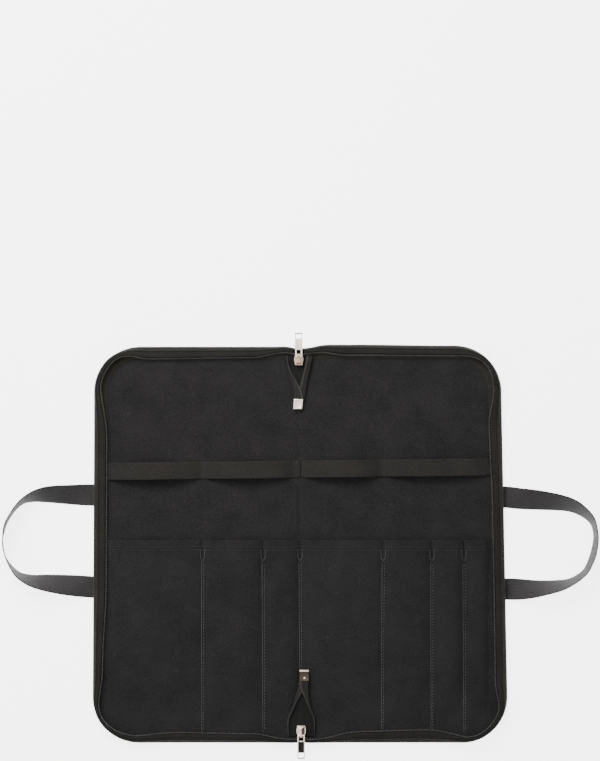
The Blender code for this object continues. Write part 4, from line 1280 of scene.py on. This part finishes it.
# %% Stitch pattern
bpy.ops.object.select_all(action="DESELECT")
bpy.ops.mesh.primitive_cylinder_add(
    vertices=6, radius=0.0003, depth=1.0, end_fill_type="TRIFAN", rotation=(0, math.radians(90), 0))
grain = bpy.context.object
bpy.ops.object.transform_apply(location=True, rotation=True, scale=True)
cut_planes(grain, [((place, 0, 0), (1, 0, 0)) for place in (-0.36, 0.36)])
for vertex in grain.data.vertices:
    if abs(vertex.co.x) > 0.4:
        vertex.co.y *= 0.4
        vertex.co.z = vertex.co.z * 0.4 - 0.0002
stitch = take_pattern(grain)
print("faces in one stitch", len(stitch[1]))


def stitch_frames(points, length, gap=0.0006, thick=1.0):
    """A frame for each stitch along a line; a stitch's own length is its X."""
    scale = Matrix.Diagonal((length, thick, thick, 1.0))
    return [frame_at(place, along) @ scale for place, along in walk(points, length + gap)]


def sew(name, frames, thread, at_head=False):
    """One mesh of all the stitches in these frames."""
    stitches = copy_along(name, stitch, frames)
    if at_head:
        settle_head(stitches)
    settle(stitches, thread, "roll", smooth=80)


# %% [markdown]
# ## Pocket seams and hem
#
# The rows of a seam follow the cloth, so each point of a row takes its height from the pocket's own shape. Below the
# hem each pair of rows begins with a U, whose two arms stand on the lips of the crease. The right row of each pair
# was sewn tighter, so its stitches are shorter and show as dots.

# %% Pocket stitching
def on_pocket(x, y, lift=0.0002):
    """A point on the pocket cloth's outer face, lifted a little."""
    return (x, y + ROLL_Y, pocket_height(x, y) + POCKET_LIFT + POCKET_CLOTH / 2 + hem_height(y) + lift)


FOOT_LEAN = (0.0, 0.7, 0.9, -0.9, 0.0, 0.9)  # millimetres that each seam's rows drift aside by its foot
SEAM_U = ((2.6, -0.0072), (2.5, -0.0110), (2.3, -0.0145), (1.6, -0.0172), (0.3, -0.0186))
SEAM_STEPS = 59
seam_frames = []
for x, lean in zip(POCKET_SEAMS[1:-1], FOOT_LEAN):
    for row in (-1, 1):
        line = []
        for share in [step / SEAM_STEPS for step in range(1, SEAM_STEPS + 1)]:
            aside = row * (0.00130 - 0.0003 * share) + lean / 1000 * share
            line.append(on_pocket(x + aside, -0.0178 - 0.1977 * share))
        start = [on_pocket(x + row * across / 1000, y) for across, y in SEAM_U]
        seam_frames += stitch_frames(start, 0.0019, 0.0005)
        seam_frames += stitch_frames(line, 0.0026 - 0.0004 * row, 0.0009 + 0.0005 * row, 0.85)
sew("pocket_stitches", seam_frames, sewing_thread)
hem_frames = []
for y in (MOUTH - 0.0078, MOUTH - 0.0112):
    line = [on_pocket(-0.219 + 0.438 * step / 400, y, 0.00005) for step in range(401)]
    hem_frames += stitch_frames(line, 0.0028, 0.0006, 0.9)
sew("hem_stitches", hem_frames, black_thread)

# %% [markdown]
# ## Tacks, binding and handle ends
#
# A row of black stitches holds the binding. Each elastic is tacked with three short rows at each tack. On the
# underside each handle end is sewn down in a square with a cross in it, which is how a strap that carries weight is
# always fixed.

# %% Other stitching
binding_frames = []
for side in (-1, 1):
    line = [tape_point(station, BINDING_SHARE * 0.9, 0.0011) for station in RIM[side]]
    binding_frames += stitch_frames(line, 0.0024, 0.0008, 0.8)
sew("binding_stitches", binding_frames, black_thread, at_head=True)

tack_frames = []
for x in ELASTIC_TACKS["left"] + ELASTIC_TACKS["right"]:
    middle = ELASTIC_Y + ELASTIC_SLOPE * x + ROLL_Y
    for shift in (-0.0016, 0.0, 0.0016):
        line = [(x + shift, middle + ELASTIC_WIDTH * share, INSIDE_BASE + 0.00125) for share in (-0.46, 0.0, 0.46)]
        tack_frames += stitch_frames(line, 0.0016, 0.0004, 0.8)
sew("tack_stitches", tack_frames, black_thread)

BOX_LENGTH, BOX_HALF, BOX_INSET, UNDER_HANDLE = 0.022, 0.0095, 0.003, 0.0001
box_frames = []
for side, _, middle_y in HANDLES.values():
    far_x = half_width(side, middle_y) - SEWN_LENGTH + BOX_INSET
    for leg in (-1, 1):
        y = middle_y + leg * (LEG_SPACING / 2 + LEG_SPLAY * 0.8) + ROLL_Y
        a, b, c, d = (
            (side * (far_x + BOX_LENGTH * along), y + BOX_HALF * across, UNDER_HANDLE)
            for along, across in ((0, -1), (1, -1), (1, 1), (0, 1)))
        for path in ((a, b), (b, c), (c, d), (d, a), (a, c), (b, d)):
            box_frames += stitch_frames(path, 0.0023, 0.0006, 0.7)
sew("handle_stitches", box_frames, black_thread)
